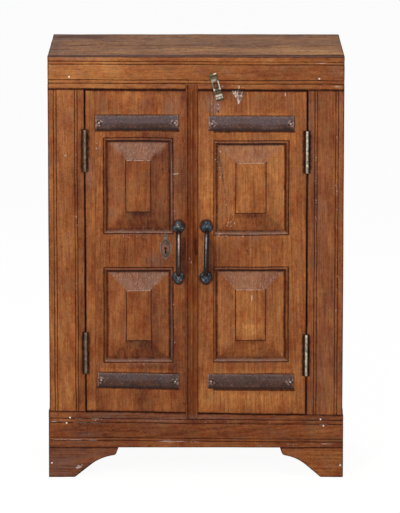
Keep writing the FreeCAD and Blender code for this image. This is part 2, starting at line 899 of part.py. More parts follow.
def lock_case():
    """A hollow box on the back of the left door, with two guides for the bolt inside."""
    left = lock_right - lock_width
    low, high = lock_z - lock_height / 2, lock_z + lock_height / 2
    far = door_board + lock_depth
    shape = block(left, lock_right, door_board, far, low, high)
    room = block(
        left + lock_wall, lock_right - lock_wall, door_board + lock_wall, far - lock_wall, low + lock_wall,
        high - lock_wall,
    )
    shape = shape.cut([room])
    guides = []
    for end in (-1, 1):
        near = lock_z + end * (bolt_height / 2 + bolt_fit)
        tip = near + end * bolt_guide_height
        guides.append(block(lock_right - bolt_guide_length, lock_right - lock_wall, door_board + lock_wall,
                            far - lock_wall, min(near, tip), max(near, tip)))
    shape = join(shape, *guides)
    keyway = keyhole(door_board - overrun, door_board + lock_depth / 2)
    return shape.cut([bolt(bolt_fit, lock_right + overrun), keyway] + lock_screws())


def lock_keeper():
    """A bridge on the back of the right door that the bolt shoots under."""
    left = right_door_x[0] + keeper_edge_gap
    right = left + keeper_length
    tall = bolt_height / 2 + keeper_fit
    middle = door_board + lock_depth / 2
    thick = bolt_thickness / 2 + keeper_fit
    outer = tall + keeper_wall
    body = block(left, right, door_board, middle + thick + keeper_wall, lock_z - outer, lock_z + outer)
    brim = outer + keeper_flange
    flange = block(left, right, door_board, door_board + keeper_wall, lock_z - brim, lock_z + brim)
    channel = block(left - overrun, right + overrun, middle - thick, middle + thick, lock_z - tall, lock_z + tall)
    return join(body, flange).cut([channel])


def hinge_heights(side):
    if side < 0:
        return (door_top - left_hinge_drop, door_bottom + left_hinge_rise)
    return (door_top - right_hinge_drop, door_bottom + right_hinge_rise)


def hinge_recess(side, z):
    """Cutter of the notch round the knuckles and of the beds of both leaves."""
    axis = side * hinge_x
    low = z - hinge_length / 2 - hinge_notch_spare
    high = z + hinge_length / 2 + hinge_notch_spare
    notch = block(axis - hinge_notch_half, axis + hinge_notch_half, -overrun, hinge_notch_depth, low, high)
    half = hinge_leaf_gap + hinge_leaf_thickness + hinge_recess_fit
    depth = hinge_leaf_depth - hinge_proud + hinge_recess_fit
    bed = block(axis - half, axis + half, -overrun, depth, low, high)
    return join(notch, bed)


def hinge_spans(z, first):
    """Low and high end of every second knuckle, starting with this one."""
    pitch = hinge_length / hinge_knuckles
    low = z - hinge_length / 2
    return [(low + pitch * index, low + pitch * (index + 1)) for index in range(first, hinge_knuckles, 2)]


def hinge_leaf(side, z, on_door):
    """One leaf of a butt hinge with its own knuckles, cleared round those of the other leaf."""
    direction = -side if on_door else side
    axis = Vector(side * hinge_x, front - hinge_proud, 0)
    near = axis.x + direction * hinge_leaf_gap
    far = near + direction * hinge_leaf_thickness
    low, high = z - hinge_length / 2, z + hinge_length / 2
    plate = block(near, far, -hinge_proud, hinge_leaf_depth - hinge_proud, low, high)
    own, other = (1, 0) if on_door else (0, 1)
    clearings = []
    for start, end in hinge_spans(z, other):
        start, end = start - hinge_knuckle_gap / 2, end + hinge_knuckle_gap / 2
        sleeve_radius = hinge_knuckle_radius + hinge_sweep_gap
        clearings.append(rod(axis + up * start, axis + up * end, sleeve_radius))
    barrels = []
    for start, end in hinge_spans(z, own):
        start = start if start <= low else start + hinge_knuckle_gap / 2
        end = end if end >= high else end - hinge_knuckle_gap / 2
        barrels.append(rod(axis + up * start, axis + up * end, hinge_knuckle_radius))
    bore = rod(axis + up * (low - overrun), axis + up * (high + overrun), hinge_pin_radius + hinge_pin_fit)
    return join(plate.cut(clearings), *barrels).cut([bore])


def hinge_pins():
    pins = []
    for side in (-1, 1):
        for z in hinge_heights(side):
            foot = Vector(side * hinge_x, front - hinge_proud, z - hinge_length / 2)
            pins.append(rod(foot, foot + up * hinge_length, hinge_pin_radius))
    return pins


def hinge_leaves(side, on_door):
    return [hinge_leaf(side, z, on_door) for z in hinge_heights(side)]


def hasp_placed(shape):
    """Moves a shape drawn round its own knuckle to the right door, tilted."""
    placed = shape.copy()
    turn = Placement(Vector(hasp_x, front, hasp_z), Rotation(Vector(0, 1, 0), -hasp_tilt))
    placed.Placement = turn.multiply(placed.Placement)
    return placed


def hasp_axis_out():
    """How far the knuckle's centre stands in front of the door."""
    return hasp_wall_gap + hasp_knuckle_radius


def hasp_box(x0, x1, out0, out1, z0, z1):
    """A box in the hasp's own frame, with distances counted outwards from the door."""
    return Part.makeBox(x1 - x0, out1 - out0, z1 - z0, Vector(x0, -out1, z0))


def hasp_barrel(x0, x1, radius):
    return rod(Vector(x0, -hasp_axis_out(), 0), Vector(x1, -hasp_axis_out(), 0), radius)


def hasp_bore():
    half = hasp_width / 2 + overrun
    return hasp_barrel(-half, half, hasp_pin_radius + hasp_pin_fit)


def hasp_screw_points():
    low = -hasp_leaf_length + hasp_screw_inset
    reach = hasp_width / 2 - hasp_screw_inset
    return [Vector(side * reach, -hasp_leaf_thickness, low) for side in (-1, 1)]


def hasp_screws():
    placed = []
    for face in hasp_screw_points():
        head = rod(face, face + outward * hasp_screw_head, hasp_screw_head_radius)
        tip = face - outward * hasp_screw_length
        placed.append(hasp_placed(join(head, rod(face, tip, hasp_screw_radius))))
    return placed


def hasp_leaf():
    """The fixed leaf, with a knuckle at each side of the strap's."""
    half = hasp_width / 2
    middle = half * hasp_knuckle_share
    plate = hasp_box(-half, half, 0, hasp_leaf_thickness, -hasp_leaf_length, 0)
    clear = hasp_barrel(-middle - hasp_knuckle_gap, middle + hasp_knuckle_gap, hasp_knuckle_radius + hasp_sweep_gap)
    barrels = [hasp_barrel(-half, -middle - hasp_knuckle_gap / 2, hasp_knuckle_radius)]
    barrels.append(hasp_barrel(middle + hasp_knuckle_gap / 2, half, hasp_knuckle_radius))
    shape = join(plate.cut([clear]), *barrels).cut([hasp_bore()])
    return hasp_placed(shape).cut(hasp_screws())


def hasp_pin():
    half = hasp_width / 2
    return hasp_placed(hasp_barrel(-half, half, hasp_pin_radius))


def hasp_strap():
    """The slotted strap that folds up over the top rail, with a curled finger end."""
    half = hasp_width / 2
    middle = half * hasp_knuckle_share
    inner, outer = hasp_wall_gap, hasp_wall_gap + hasp_strap_thickness
    plate = hasp_box(-half, half, inner, outer, 0, hasp_strap_length)
    reach = hasp_knuckle_radius + hasp_sweep_gap
    clearings = [hasp_barrel(-half - overrun, -middle, reach), hasp_barrel(middle, half + overrun, reach)]
    barrel = hasp_barrel(-middle + hasp_knuckle_gap / 2, middle - hasp_knuckle_gap / 2, hasp_knuckle_radius)
    slot_half = hasp_slot_width / 2
    slot_end = hasp_slot_start + hasp_slot_length
    slot = hasp_box(-slot_half, slot_half, -overrun, outer + overrun, hasp_slot_start, slot_end)
    curl_out = inner + hasp_curl_radius
    ends = [Vector(side * half, -curl_out, hasp_strap_length) for side in (-1, 1)]
    curl = rod(*ends, hasp_curl_radius)
    shape = join(plate.cut(clearings + [slot]), barrel, curl).cut([hasp_bore()])
    return hasp_placed(shape)


def staple():
    """A wire staple driven into the top rail, standing through the strap's slot."""
    radius = staple_wire / 2
    middle = hasp_slot_start + hasp_slot_length / 2
    span = staple_length / 2 - radius
    crown = staple_projection - radius
    low, high = Vector(0, 0, middle - span), Vector(0, 0, middle + span)
    shoulder = outward * (crown - span)
    edges = [
        Part.LineSegment(low - outward * staple_leg, low + shoulder),
        Part.Arc(low + shoulder, Vector(0, 0, middle) + outward * crown, high + shoulder),
        Part.LineSegment(high + shoulder, high - outward * staple_leg),
    ]
    path = Part.Wire([edge.toShape() for edge in edges])
    section = Part.Wire([Part.Circle(low - outward * staple_leg, outward, radius).toShape()])
    return hasp_placed(path.makePipeShell([section], True, False))


def build():
    """Every node's name with its solid or group of solids."""
    parts = {
        "front_top_rail": front_top_rail(),
        "front_bottom_rail": front_bottom_rail(),
        "back_boards": back_boards(),
        "back_top_rail": back_top_rail(),
        "back_bottom_rail": back_bottom_rail(),
        "floor_board": floor_board(),
        "floor_cleats": cleats(floor_top - floor_board_thickness, case_depth - back_board - back_rail_thickness),
        "shelf_board": shelf_board(),
        "shelf_cleats": cleats(shelf_top - shelf_thickness, case_depth - back_board),
        "foot_blocks": foot_blocks(),
        "frame_nails": nails() + foot_nails(),
        "hinge_pins": hinge_pins(),
        "hasp_staple": staple(),
        "left_door_wide_board": left_door_wide_board(),
        "left_door_narrow_board": left_door_narrow_board(),
        "right_door_wide_board": right_door_wide_board(),
        "right_door_narrow_board": right_door_narrow_board(),
        "astragal": astragal(),
        "left_strap_nails": left_strap_nails(),
        "right_strap_nails": right_strap_nails(),
        "left_handle": handle(left_handle_x, 0),
        "right_handle": handle(right_handle_x, right_handle_tilt),
        "left_handle_screws": handle_screws(left_handle_x, 0),
        "right_handle_screws": handle_screws(right_handle_x, right_handle_tilt),
        "escutcheon": escutcheon(),
        "escutcheon_pins": escutcheon_pins(),
        "lock_case": lock_case(),
        "lock_screws": lock_screws(),
        "lock_bolt": bolt(0, lock_right),
        "lock_keeper": lock_keeper(),
        "hasp_leaf": hasp_leaf(),
        "hasp_pin": hasp_pin(),
        "hasp_screws": hasp_screws(),
        "hasp_strap": hasp_strap(),
    }
    parts["top_board_front"], parts["top_board_rear"] = top_boards()
    for name in strap_places():
        door, place = name.split("_")
        parts[f"{door}_strap_{place}"] = strap(name)
    for side, word in ((-1, "left"), (1, "right")):
        front_depth, rear_depth = side_stile_depths()
        parts[f"front_stile_{word}"] = front_stile(side)
        parts[f"front_foot_{word}"] = front_foot(side)
        parts[f"side_feet_{word}"] = side_feet(side)
        parts[f"side_top_rail_{word}"] = side_top_rail(side)
        parts[f"side_bottom_rail_{word}"] = side_bottom_rail(side)
        parts[f"side_front_stile_{word}"] = side_stile(side, front_depth)
        parts[f"side_rear_stile_{word}"] = side_stile(side, rear_depth)
        parts[f"side_panel_{word}"] = side_panel(side)
        parts[f"hinge_frame_leaves_{word}"] = hinge_leaves(side, False)
        parts[f"hinge_door_leaves_{word}"] = hinge_leaves(side, True)
    return parts


def export(parts):
    """Writes one file per node and prints what went in."""
    os.makedirs("parts", exist_ok=True)
    for name, shapes in parts.items():
        group = shapes if isinstance(shapes, list) else [shapes]
        shape = group[0] if len(group) == 1 else Part.makeCompound(group)
        shape.exportStep(f"parts/{name}.step")
        print(name, len(shape.Solids), "valid" if shape.isValid() else "NOT VALID", round(shape.Volume))
    print(len(parts), "nodes")


export(build())
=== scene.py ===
import math
from collections import namedtuple

import bmesh
import bpy
import numpy as np
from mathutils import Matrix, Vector


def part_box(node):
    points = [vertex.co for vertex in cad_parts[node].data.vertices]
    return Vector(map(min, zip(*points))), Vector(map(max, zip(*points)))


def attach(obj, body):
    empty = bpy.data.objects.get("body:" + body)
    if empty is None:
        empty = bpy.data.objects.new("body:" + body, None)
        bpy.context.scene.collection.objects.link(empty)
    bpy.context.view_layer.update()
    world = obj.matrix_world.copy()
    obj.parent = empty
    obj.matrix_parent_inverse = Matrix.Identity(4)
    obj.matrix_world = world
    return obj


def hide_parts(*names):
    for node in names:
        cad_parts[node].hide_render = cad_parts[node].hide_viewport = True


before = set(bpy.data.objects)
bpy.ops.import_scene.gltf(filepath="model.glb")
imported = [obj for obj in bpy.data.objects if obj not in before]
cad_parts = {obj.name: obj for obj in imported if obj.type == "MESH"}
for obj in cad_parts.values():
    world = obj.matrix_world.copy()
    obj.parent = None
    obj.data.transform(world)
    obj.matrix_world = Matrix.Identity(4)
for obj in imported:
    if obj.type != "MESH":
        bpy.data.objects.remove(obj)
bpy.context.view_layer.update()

# Lengths are in millimetres in the row's frame until a mesh is made: X right, Y back, Z up.
MM = 0.001


def node_box(node):
    """Lowest and highest corner of a CAD node, in millimetres."""
    low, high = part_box(node)
    return np.array(low) / MM, np.array(high) / MM


def node_points(node):
    """Corners of a CAD node's mesh, in millimetres."""
    return np.array([vertex.co[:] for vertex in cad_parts[node].data.vertices]) / MM


# Faces of the case, read from the CAD nodes

TOP_LOW, TOP_HIGH = node_box("front_top_rail")
BASE_LOW, BASE_HIGH = node_box("front_bottom_rail")
FRONT, FRAME_BACK = TOP_LOW[1], TOP_HIGH[1]
OPENING_LOW, OPENING_HIGH = BASE_HIGH[2], TOP_LOW[2]
CASE_HALF = TOP_HIGH[0]
BACK = node_box("back_boards")[1][1]


# Noise on arrays of points

def lattice(ix, iy, iz, seed):
    """A fixed random number from 0 to 1 for each whole point."""
    mixed = (ix * 73856093) ^ (iy * 19349663) ^ (iz * 83492791) ^ (seed * 668265263)
    mixed = ((mixed ^ (mixed >> 13)) * 1274126177) & 0xFFFFFFFF
    mixed = ((mixed ^ (mixed >> 15)) * 2246822519) & 0xFFFFFFFF
    return ((mixed ^ (mixed >> 16)) & 0xFFFF) / 65535.0


def noise(points, size, seed):
    """Smooth noise from -1 to 1, whose bumps are this large along each axis."""
    cell = np.asarray(points, float) / np.asarray(size, float)
    whole = np.floor(cell).astype(np.int64)
    part = cell - whole
    part = part * part * (3 - 2 * part)
    total = 0.0
    for dx in (0, 1):
        for dy in (0, 1):
            for dz in (0, 1):
                share = np.abs(1 - dx - part[:, 0]) * np.abs(1 - dy - part[:, 1])
                share = share * np.abs(1 - dz - part[:, 2])
                total = total + share * lattice(whole[:, 0] + dx, whole[:, 1] + dy, whole[:, 2] + dz, seed)
    return total * 2 - 1


def face_noise(first, second, size, seed):
    """Noise at places on a face, given as two arrays."""
    flat = np.stack([first.ravel(), second.ravel(), first.ravel() * 0], axis=1)
    return noise(flat, (*size, 1.0), seed).reshape(first.shape)


def smooth(low, high, value):
    """Goes from 0 to 1 as value goes from low to high."""
    share = np.clip((value - low) / (high - low), 0, 1)
    return share * share * (3 - 2 * share)


def within(start, full, fall, end, value):
    """1 from full to fall, and down to 0 at start and at end."""
    return smooth(start, full, value) * smooth(end, fall, value)


def uneven(points, amount):
    """Shifts points a little, as in hand planed and hand forged work."""
    shift = np.stack([noise(points, (60, 60, 110), seed) for seed in (11, 12, 13)], axis=1)
    fine = np.stack([noise(points, (17, 17, 26), seed) for seed in (21, 22, 23)], axis=1)
    return points + (shift * np.array([0.38, 0.2, 0.34]) + fine * 0.12) * amount


# Meshes

# Paint layers: dirt, which in places is painted shadow; wear, which in places is a painted highlight or
# glint; tone, which in places is painted light and shade; a mauve haze, which in places is painted sheen;
# and bare wood
LAYERS = ("grime", "wear", "shade", "bloom", "bare")
GRIME_AND_SHADOW, WEAR_AND_HIGHLIGHT, SHADE, BLOOM_AND_SHEEN, BARE = range(5)


def turned(points, centre, degrees):
    """Points turned in the plane of the front, to the right at the top if positive."""
    angle = math.radians(degrees)
    moved = np.array(points, float)
    dx, dz = moved[..., 0] - centre[0], moved[..., 2] - centre[2]
    moved[..., 0] = centre[0] + dx * math.cos(angle) + dz * math.sin(angle)
    moved[..., 2] = centre[2] + dz * math.cos(angle) - dx * math.sin(angle)
    return moved


class Shape:
    """Points and faces of a mesh in the making, with a value per point for each paint layer."""

    def __init__(self, points, faces, paint=None):
        self.points = np.asarray(points, float)
        self.faces = faces
        self.paint = np.zeros((len(self.points), len(LAYERS))) if paint is None else paint

    def __add__(self, other):
        start = len(self.points)
        faces = self.faces + [[index + start for index in face] for face in other.faces]
        points = np.concatenate([self.points, other.points])
        return Shape(points, faces, np.concatenate([self.paint, other.paint]))

    def turned(self, centre, degrees):
        return Shape(turned(self.points, centre, degrees), self.faces, self.paint)


def joined(shapes):
    """Several shapes as one."""
    first, *others = shapes
    return sum(others, first)


def full_turn(count):
    """Angles evenly spaced round a circle."""
    return np.linspace(0, 2 * math.pi, count, endpoint=False)


def ring_faces(first, last, sides):
    """Faces between rings of points that follow each other, from the first ring to the last."""
    faces = []
    for start in range(first, last, sides):
        for side in range(sides):
            after = (side + 1) % sides
            faces.append([start + side, start + after, start + sides + after, start + sides + side])
    return faces


def tube(points, sides):
    """A bar with closed ends, from rings of this many points."""
    points = np.asarray(points, float)
    last = len(points) - sides
    ends = [list(range(sides))[::-1], list(range(last, len(points)))]
    return Shape(points, ring_faces(0, last, sides) + ends)


def hand_cut(points, reach):
    """Pushes points of a front board sideways, away from its edges, as in lines cut by hand."""
    inside = np.minimum(points - points.min(axis=0), points.max(axis=0) - points)
    free = smooth(3, 14, np.minimum(inside[:, 0], inside[:, 2]))
    moved = points.copy()
    for axis, seed in ((0, 31), (2, 32)):
        slow, quick = noise(points, (52, 400, 52), seed), noise(points, (19, 400, 19), seed + 5)
        moved[:, axis] += free * reach * (slow + 0.4 * quick)
    return moved


TOP_DROP, TOP_SLOPE, BASE_SLOPE = 1.7, 0.0048, 0.0085
SEAM_DROP, SEAM_SLOPE = 3.2, 0.012


def settled(points):
    """Lets the boards of the front slope down to the right, as in an old case gone out of true."""
    x, z = points[:, 0], points[:, 2]
    top = smooth(745, 790, z) * (1 - 0.6 * smooth(858, 866, z))
    base = BASE_SLOPE * smooth(200, 150, z) * smooth(60, 78, z)
    seam = smooth(200, 150, z) * smooth(121, 132, z)
    moved = points.copy()
    drop = SEAM_DROP + np.clip(SEAM_SLOPE * x, -2.0, 1.2)
    moved[:, 2] -= top * (TOP_DROP + TOP_SLOPE * x) + base * x + seam * drop
    return moved


CREASE = 38.0


def piece(name, shape, material, body, amount=1.0, drift=None):
    """Makes the object of a shape, rides it on its body and lets it stand for its CAD node."""
    points = shape.points if drift is None else settled(hand_cut(shape.points, drift))
    points = uneven(points, amount) if amount else points
    mesh = bpy.data.meshes.new(name)
    mesh.from_pydata((points * MM).tolist(), [], shape.faces)
    paint = shape.paint + hand_painted(shape.points)
    for layer, values in zip(LAYERS, paint.T):
        attribute = mesh.attributes.new(layer, "FLOAT", "POINT")
        attribute.data.foreach_set("value", values.astype(np.float32))
    mesh.update()
    mesh.polygons.foreach_set("use_smooth", [True] * len(mesh.polygons))
    mesh.set_sharp_from_angle(angle=math.radians(CREASE))
    mesh.materials.append(material)
    made = bpy.data.objects.new(name, mesh)
    bpy.context.scene.collection.objects.link(made)
    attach(made, body)
    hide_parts(name)


def spaced(start, end, step):
    """Places from start to end, evenly spaced and about a step apart."""
    count = max(1, int(round(abs(end - start) / step)))
    return np.linspace(start, end, count + 1)


def grid_lines(start, end, step, kept):
    """Lines from start to end about a step apart, with these ones kept where they are."""
    stops = sorted({start, end} | {float(line) for line in kept if start < line < end})
    found = [stops[0]]
    for before, after in zip(stops[:-1], stops[1:]):
        found += list(spaced(before, after, step)[1:])
    return np.array(found)


ARRIS_SHARES = np.array([0.134, 0.5, 1.0])
EDGE_DIRT, FOLD = 1.6, 0.05


def arris_depth(edge, end, radius):
    """How deep a face lies where its edge and end are rounded with this radius."""
    across, along = np.clip(radius - edge, 0, None), np.clip(radius - end, 0, None)
    return radius - np.sqrt(np.clip(radius**2 - across**2 - along**2, 0, None))


# A bead between two quirks: share of the way from one to the other, depth, grime and wear
BEAD = np.array([
    (-0.3, 0, 0, 0), (-0.17, 0.2, 0.1, 0.25), (-0.09, 0.95, 0.6, 0), (0, 1.8, 0.85, 0), (0.1, 1, 0.6, 0),
    (0.2, 0.4, 0.15, 0.1), (0.35, 0.1, 0, 0.25), (0.5, 0, 0, 0.35), (0.65, 0.1, 0, 0.25),
    (0.8, 0.4, 0.15, 0.1), (0.9, 1, 0.6, 0), (1, 1.8, 0.85, 0), (1.09, 0.95, 0.6, 0),
    (1.17, 0.2, 0.1, 0.25), (1.3, 0, 0, 0),
])


def bead_rows(bead):
    """Where the rows of a bead lie between its two quirks."""
    first, second = bead
    return first + (second - first) * BEAD[:, 0]


def board_axes(grain, normal):
    """The axes through a board and across it, from its grain and the side that it faces."""
    deep = next(axis for axis in range(3) if normal[axis])
    return deep, 3 - grain - deep


def folded(quads, depth):
    """Quads of a face with this depth, where bent split in two along the steeper diagonal."""
    rise = depth[:-1, :-1] - depth[1:, 1:]
    cross = depth[1:, :-1] - depth[:-1, 1:]
    twist = depth[:-1, :-1] + depth[1:, 1:] - depth[1:, :-1] - depth[:-1, 1:]
    bent = np.abs(twist) > FOLD
    first = quads[bent & (np.abs(rise) >= np.abs(cross))]
    other = quads[bent & (np.abs(rise) < np.abs(cross))]
    halves = [first[:, [0, 1, 2]], first[:, [0, 2, 3]], other[:, [0, 1, 3]], other[:, [1, 2, 3]]]
    return [quads[~bent], *halves]


def board_faces(depth, facing):
    """Front, back and side faces of a board whose front and back are grids of points.

    facing is -1 where they would otherwise look inwards.
    """
    index = np.arange(2 * depth.size).reshape((2,) + depth.shape)
    front, back = [
        np.stack([grid[:-1, :-1], grid[1:, :-1], grid[1:, 1:], grid[:-1, 1:]], axis=-1) for grid in index
    ]
    loop = np.concatenate([
        index[:, :, 0].T, index[:, -1, 1:].T, index[:, -2::-1, -1].T, index[:, 0, -2:0:-1].T,
    ])
    after = np.roll(loop, -1, axis=0)
    sides = np.stack([loop[:, 0], loop[:, 1], after[:, 1], after[:, 0]], axis=-1)
    groups = [*folded(front, depth), back.reshape(-1, 4)[:, ::-1], sides]
    return [face for group in groups for face in group[:, ::facing].tolist()]


def board(low, high, grain, normal, beads=(), arris=1.2, step=7.0, kept=((), ()), relief=None,
          edge_grime=(0.7, 0.7, 0.7), edge_reach=None, rim=(0.25, 0.25, 0.25), wear=0.5,
          back_inset=(0.0, 0.0), wrap=False):
    """A board with rounded arrises whose front follows its beads and its relief.

    kept holds the grid lines that the relief needs across and along the board. relief turns
    the places across and along into the depth and the paint layers. edge_grime, edge_reach and
    rim give the dirt of the low edge, the high edge and the ends, how far it reaches onto the
    face, and the dirt where the sides meet the back. back_inset is how far the back stands in
    at the low and the high edge. wrap shapes the ends like the beads.
    """
    deep, over = board_axes(grain, normal)
    sign = normal[deep]
    face, far = (high[deep], low[deep]) if sign > 0 else (low[deep], high[deep])
    ends = np.append(arris * ARRIS_SHARES, arris + EDGE_DIRT)
    rows = [row for bead in beads for row in bead_rows(bead)]
    across_kept = list(kept[0]) + rows + list(low[over] + ends) + list(high[over] - ends)
    along_kept = list(kept[1]) + list(low[grain] + ends) + list(high[grain] - ends)
    across = grid_lines(low[over], high[over], step, across_kept)
    along = grid_lines(low[grain], high[grain], step * 1.4, along_kept)
    wide, tall = np.meshgrid(across, along, indexing="ij")
    edge = np.minimum(wide - low[over], high[over] - wide)
    end = np.minimum(tall - low[grain], high[grain] - tall)
    depth, dirt, worn, shade, bloom, bare = np.zeros((6,) + wide.shape)
    for bead in beads:
        for values, column in zip((depth, dirt, worn), BEAD.T[1:]):
            values += np.interp(wide, bead_rows(bead), column, 0, 0)
    groove = depth.copy()
    if relief:
        extra, paint = relief(wide, tall)
        depth = depth + extra
        dirt, worn = np.maximum(dirt, paint[GRIME_AND_SHADOW]), np.maximum(worn, paint[WEAR_AND_HIGHLIGHT])
        shade, bloom, bare = paint[SHADE], paint[BLOOM_AND_SHEEN], paint[BARE]
    near = np.minimum(edge, end)
    borders = (wide - low[over], high[over] - wide, end)
    for border, amount, reach in zip(borders, edge_grime, edge_reach or [arris + EDGE_DIRT] * 3):
        dirt = np.maximum(dirt, amount * (1 - smooth(reach * 0.3, reach, border)))
    worn = np.maximum(worn, wear * (1 - smooth(arris * 0.6, arris * 1.8, near)))
    depth = np.maximum(depth, arris_depth(edge, end, arris))

    points = np.zeros((2,) + wide.shape + (3,))
    points[..., over], points[..., grain] = wide, tall
    points[0, ..., deep] = face - sign * depth
    points[1, ..., deep] = far + sign * arris_depth(edge, end, min(arris, 1.0))
    points[1, ..., over] += np.interp(wide, (low[over], high[over]), (back_inset[0], -back_inset[1]))
    if wrap:
        points[:, :, 0, grain] += groove[:, 0]
        points[:, :, -1, grain] -= groove[:, 0]

    axes = np.zeros((3, 3))
    axes[0, over], axes[1, grain], axes[2, deep] = 1, 1, sign
    faces = board_faces(depth, 1 if np.linalg.det(axes) > 0 else -1)
    front_paint = np.stack([dirt, worn, shade, bloom, bare], axis=-1).reshape(-1, len(LAYERS))
    back_paint = np.zeros_like(front_paint)
    back_paint[:, GRIME_AND_SHADOW] = 0.1
    for border, amount in zip(borders, rim):
        back_paint[border.ravel() < 0.01, GRIME_AND_SHADOW] = amount
    return Shape(points.reshape(-1, 3), faces, np.concatenate([front_paint, back_paint]))


RIM_REACH = 3.2
CUT_ARRIS, CUT_STEP = 1.4, 9.0


def outline_distance(places, outline):
    """How far each place lies from a closed outline."""
    found = np.full(len(places), np.inf)
    for start, end in zip(outline, np.roll(outline, -1, axis=0)):
        run = end - start
        share = np.clip((places - start) @ run / (run @ run), 0, 1)
        found = np.minimum(found, np.linalg.norm(places - start - share[:, None] * run, axis=1))
    return found


def cutout(outline, deep, face, far):
    """A flat board with this outline, given as points in the two other axes of the row's frame."""
    others = [axis for axis in range(3) if axis != deep]
    made = bmesh.new()
    rings = []
    for level in (face, far):
        corners = []
        for first, second in outline:
            place = [0.0] * 3
            place[deep], place[others[0]], place[others[1]] = level, first, second
            corners.append(made.verts.new(place))
        rings.append(corners)
    front = made.faces.new(rings[0])
    made.faces.new(rings[1][::-1])
    for index in range(len(outline)):
        after = (index + 1) % len(outline)
        made.faces.new([rings[0][index], rings[1][index], rings[1][after], rings[0][after]])
    bmesh.ops.recalc_face_normals(made, faces=made.faces)
    border = list(made.edges)
    bmesh.ops.inset_region(made, faces=[front], thickness=RIM_REACH, use_even_offset=True)
    bmesh.ops.bevel(made, geom=border, offset=CUT_ARRIS, segments=3, profile=0.5, affect="EDGES")
    for axis in others:
        places = [point.co[axis] for point in made.verts]
        for place in spaced(min(places), max(places), CUT_STEP)[1:-1]:
            centre, direction = [0.0] * 3, [0.0] * 3
            centre[axis], direction[axis] = place, 1.0
            everything = list(made.verts) + list(made.edges) + list(made.faces)
            bmesh.ops.bisect_plane(made, geom=everything, plane_co=centre, plane_no=direction)
    made.verts.index_update()
    points = np.array([point.co for point in made.verts])
    faces = [[corner.index for corner in each.verts] for each in made.faces]
    made.free()
    shape = Shape(points, faces)
    away = outline_distance(points[:, others], np.array(outline))
    dark = smooth(RIM_REACH, CUT_ARRIS * 0.5, away) * smooth(8.0, 2.0, np.abs(points[:, deep] - face))
    shape.paint[:, GRIME_AND_SHADOW] = np.maximum(0.85 * dark, 0.25 * (np.abs(points[:, deep] - far) < CUT_ARRIS))
    return shape


def sweep(path, radii, sides):
    """A round bar along a path that stays in one upright plane."""
    path = np.asarray(path, float)
    run = np.gradient(path, axis=0)
    run /= np.linalg.norm(run, axis=1)[:, None]
    across = np.tile([1.0, 0.0, 0.0], (len(path), 1))
    other = np.cross(run, across)
    turn = full_turn(sides)
    ring = across[:, None] * np.cos(turn)[None, :, None] + other[:, None] * np.sin(turn)[None, :, None]
    return tube((path[:, None] + ring * np.asarray(radii)[:, None, None]).reshape(-1, 3), sides)


def medallion(centre, outline, height, rings, spokes):
    """A domed plate on the front: outline gives its radius at an angle, height its rise at a place."""
    turn = full_turn(spokes)
    reach = outline(turn)
    shares = 1 - (1 - np.linspace(0, 1, rings + 1)[1:]) ** 1.6
    points = [[centre[0], centre[1] - height(*np.zeros((3, 1)))[0], centre[2]]]
    for share in shares:
        dx, dz = reach * share * np.cos(turn), reach * share * np.sin(turn)
        rise = height(dx, dz, np.full(spokes, share))
        points += np.stack([centre[0] + dx, centre[1] - rise, centre[2] + dz], axis=1).tolist()
    dx, dz = reach * np.cos(turn), reach * np.sin(turn)
    points += np.stack([centre[0] + dx, np.full(spokes, centre[1]), centre[2] + dz], axis=1).tolist()
    faces = [[0, 1 + side, 1 + (side + 1) % spokes] for side in range(spokes)]
    last = 1 + rings * spokes
    faces += [[a, d, c, b] for a, b, c, d in ring_faces(1, last, spokes)]
    faces.append([last + side for side in range(spokes)][::-1])
    return Shape(points, faces)
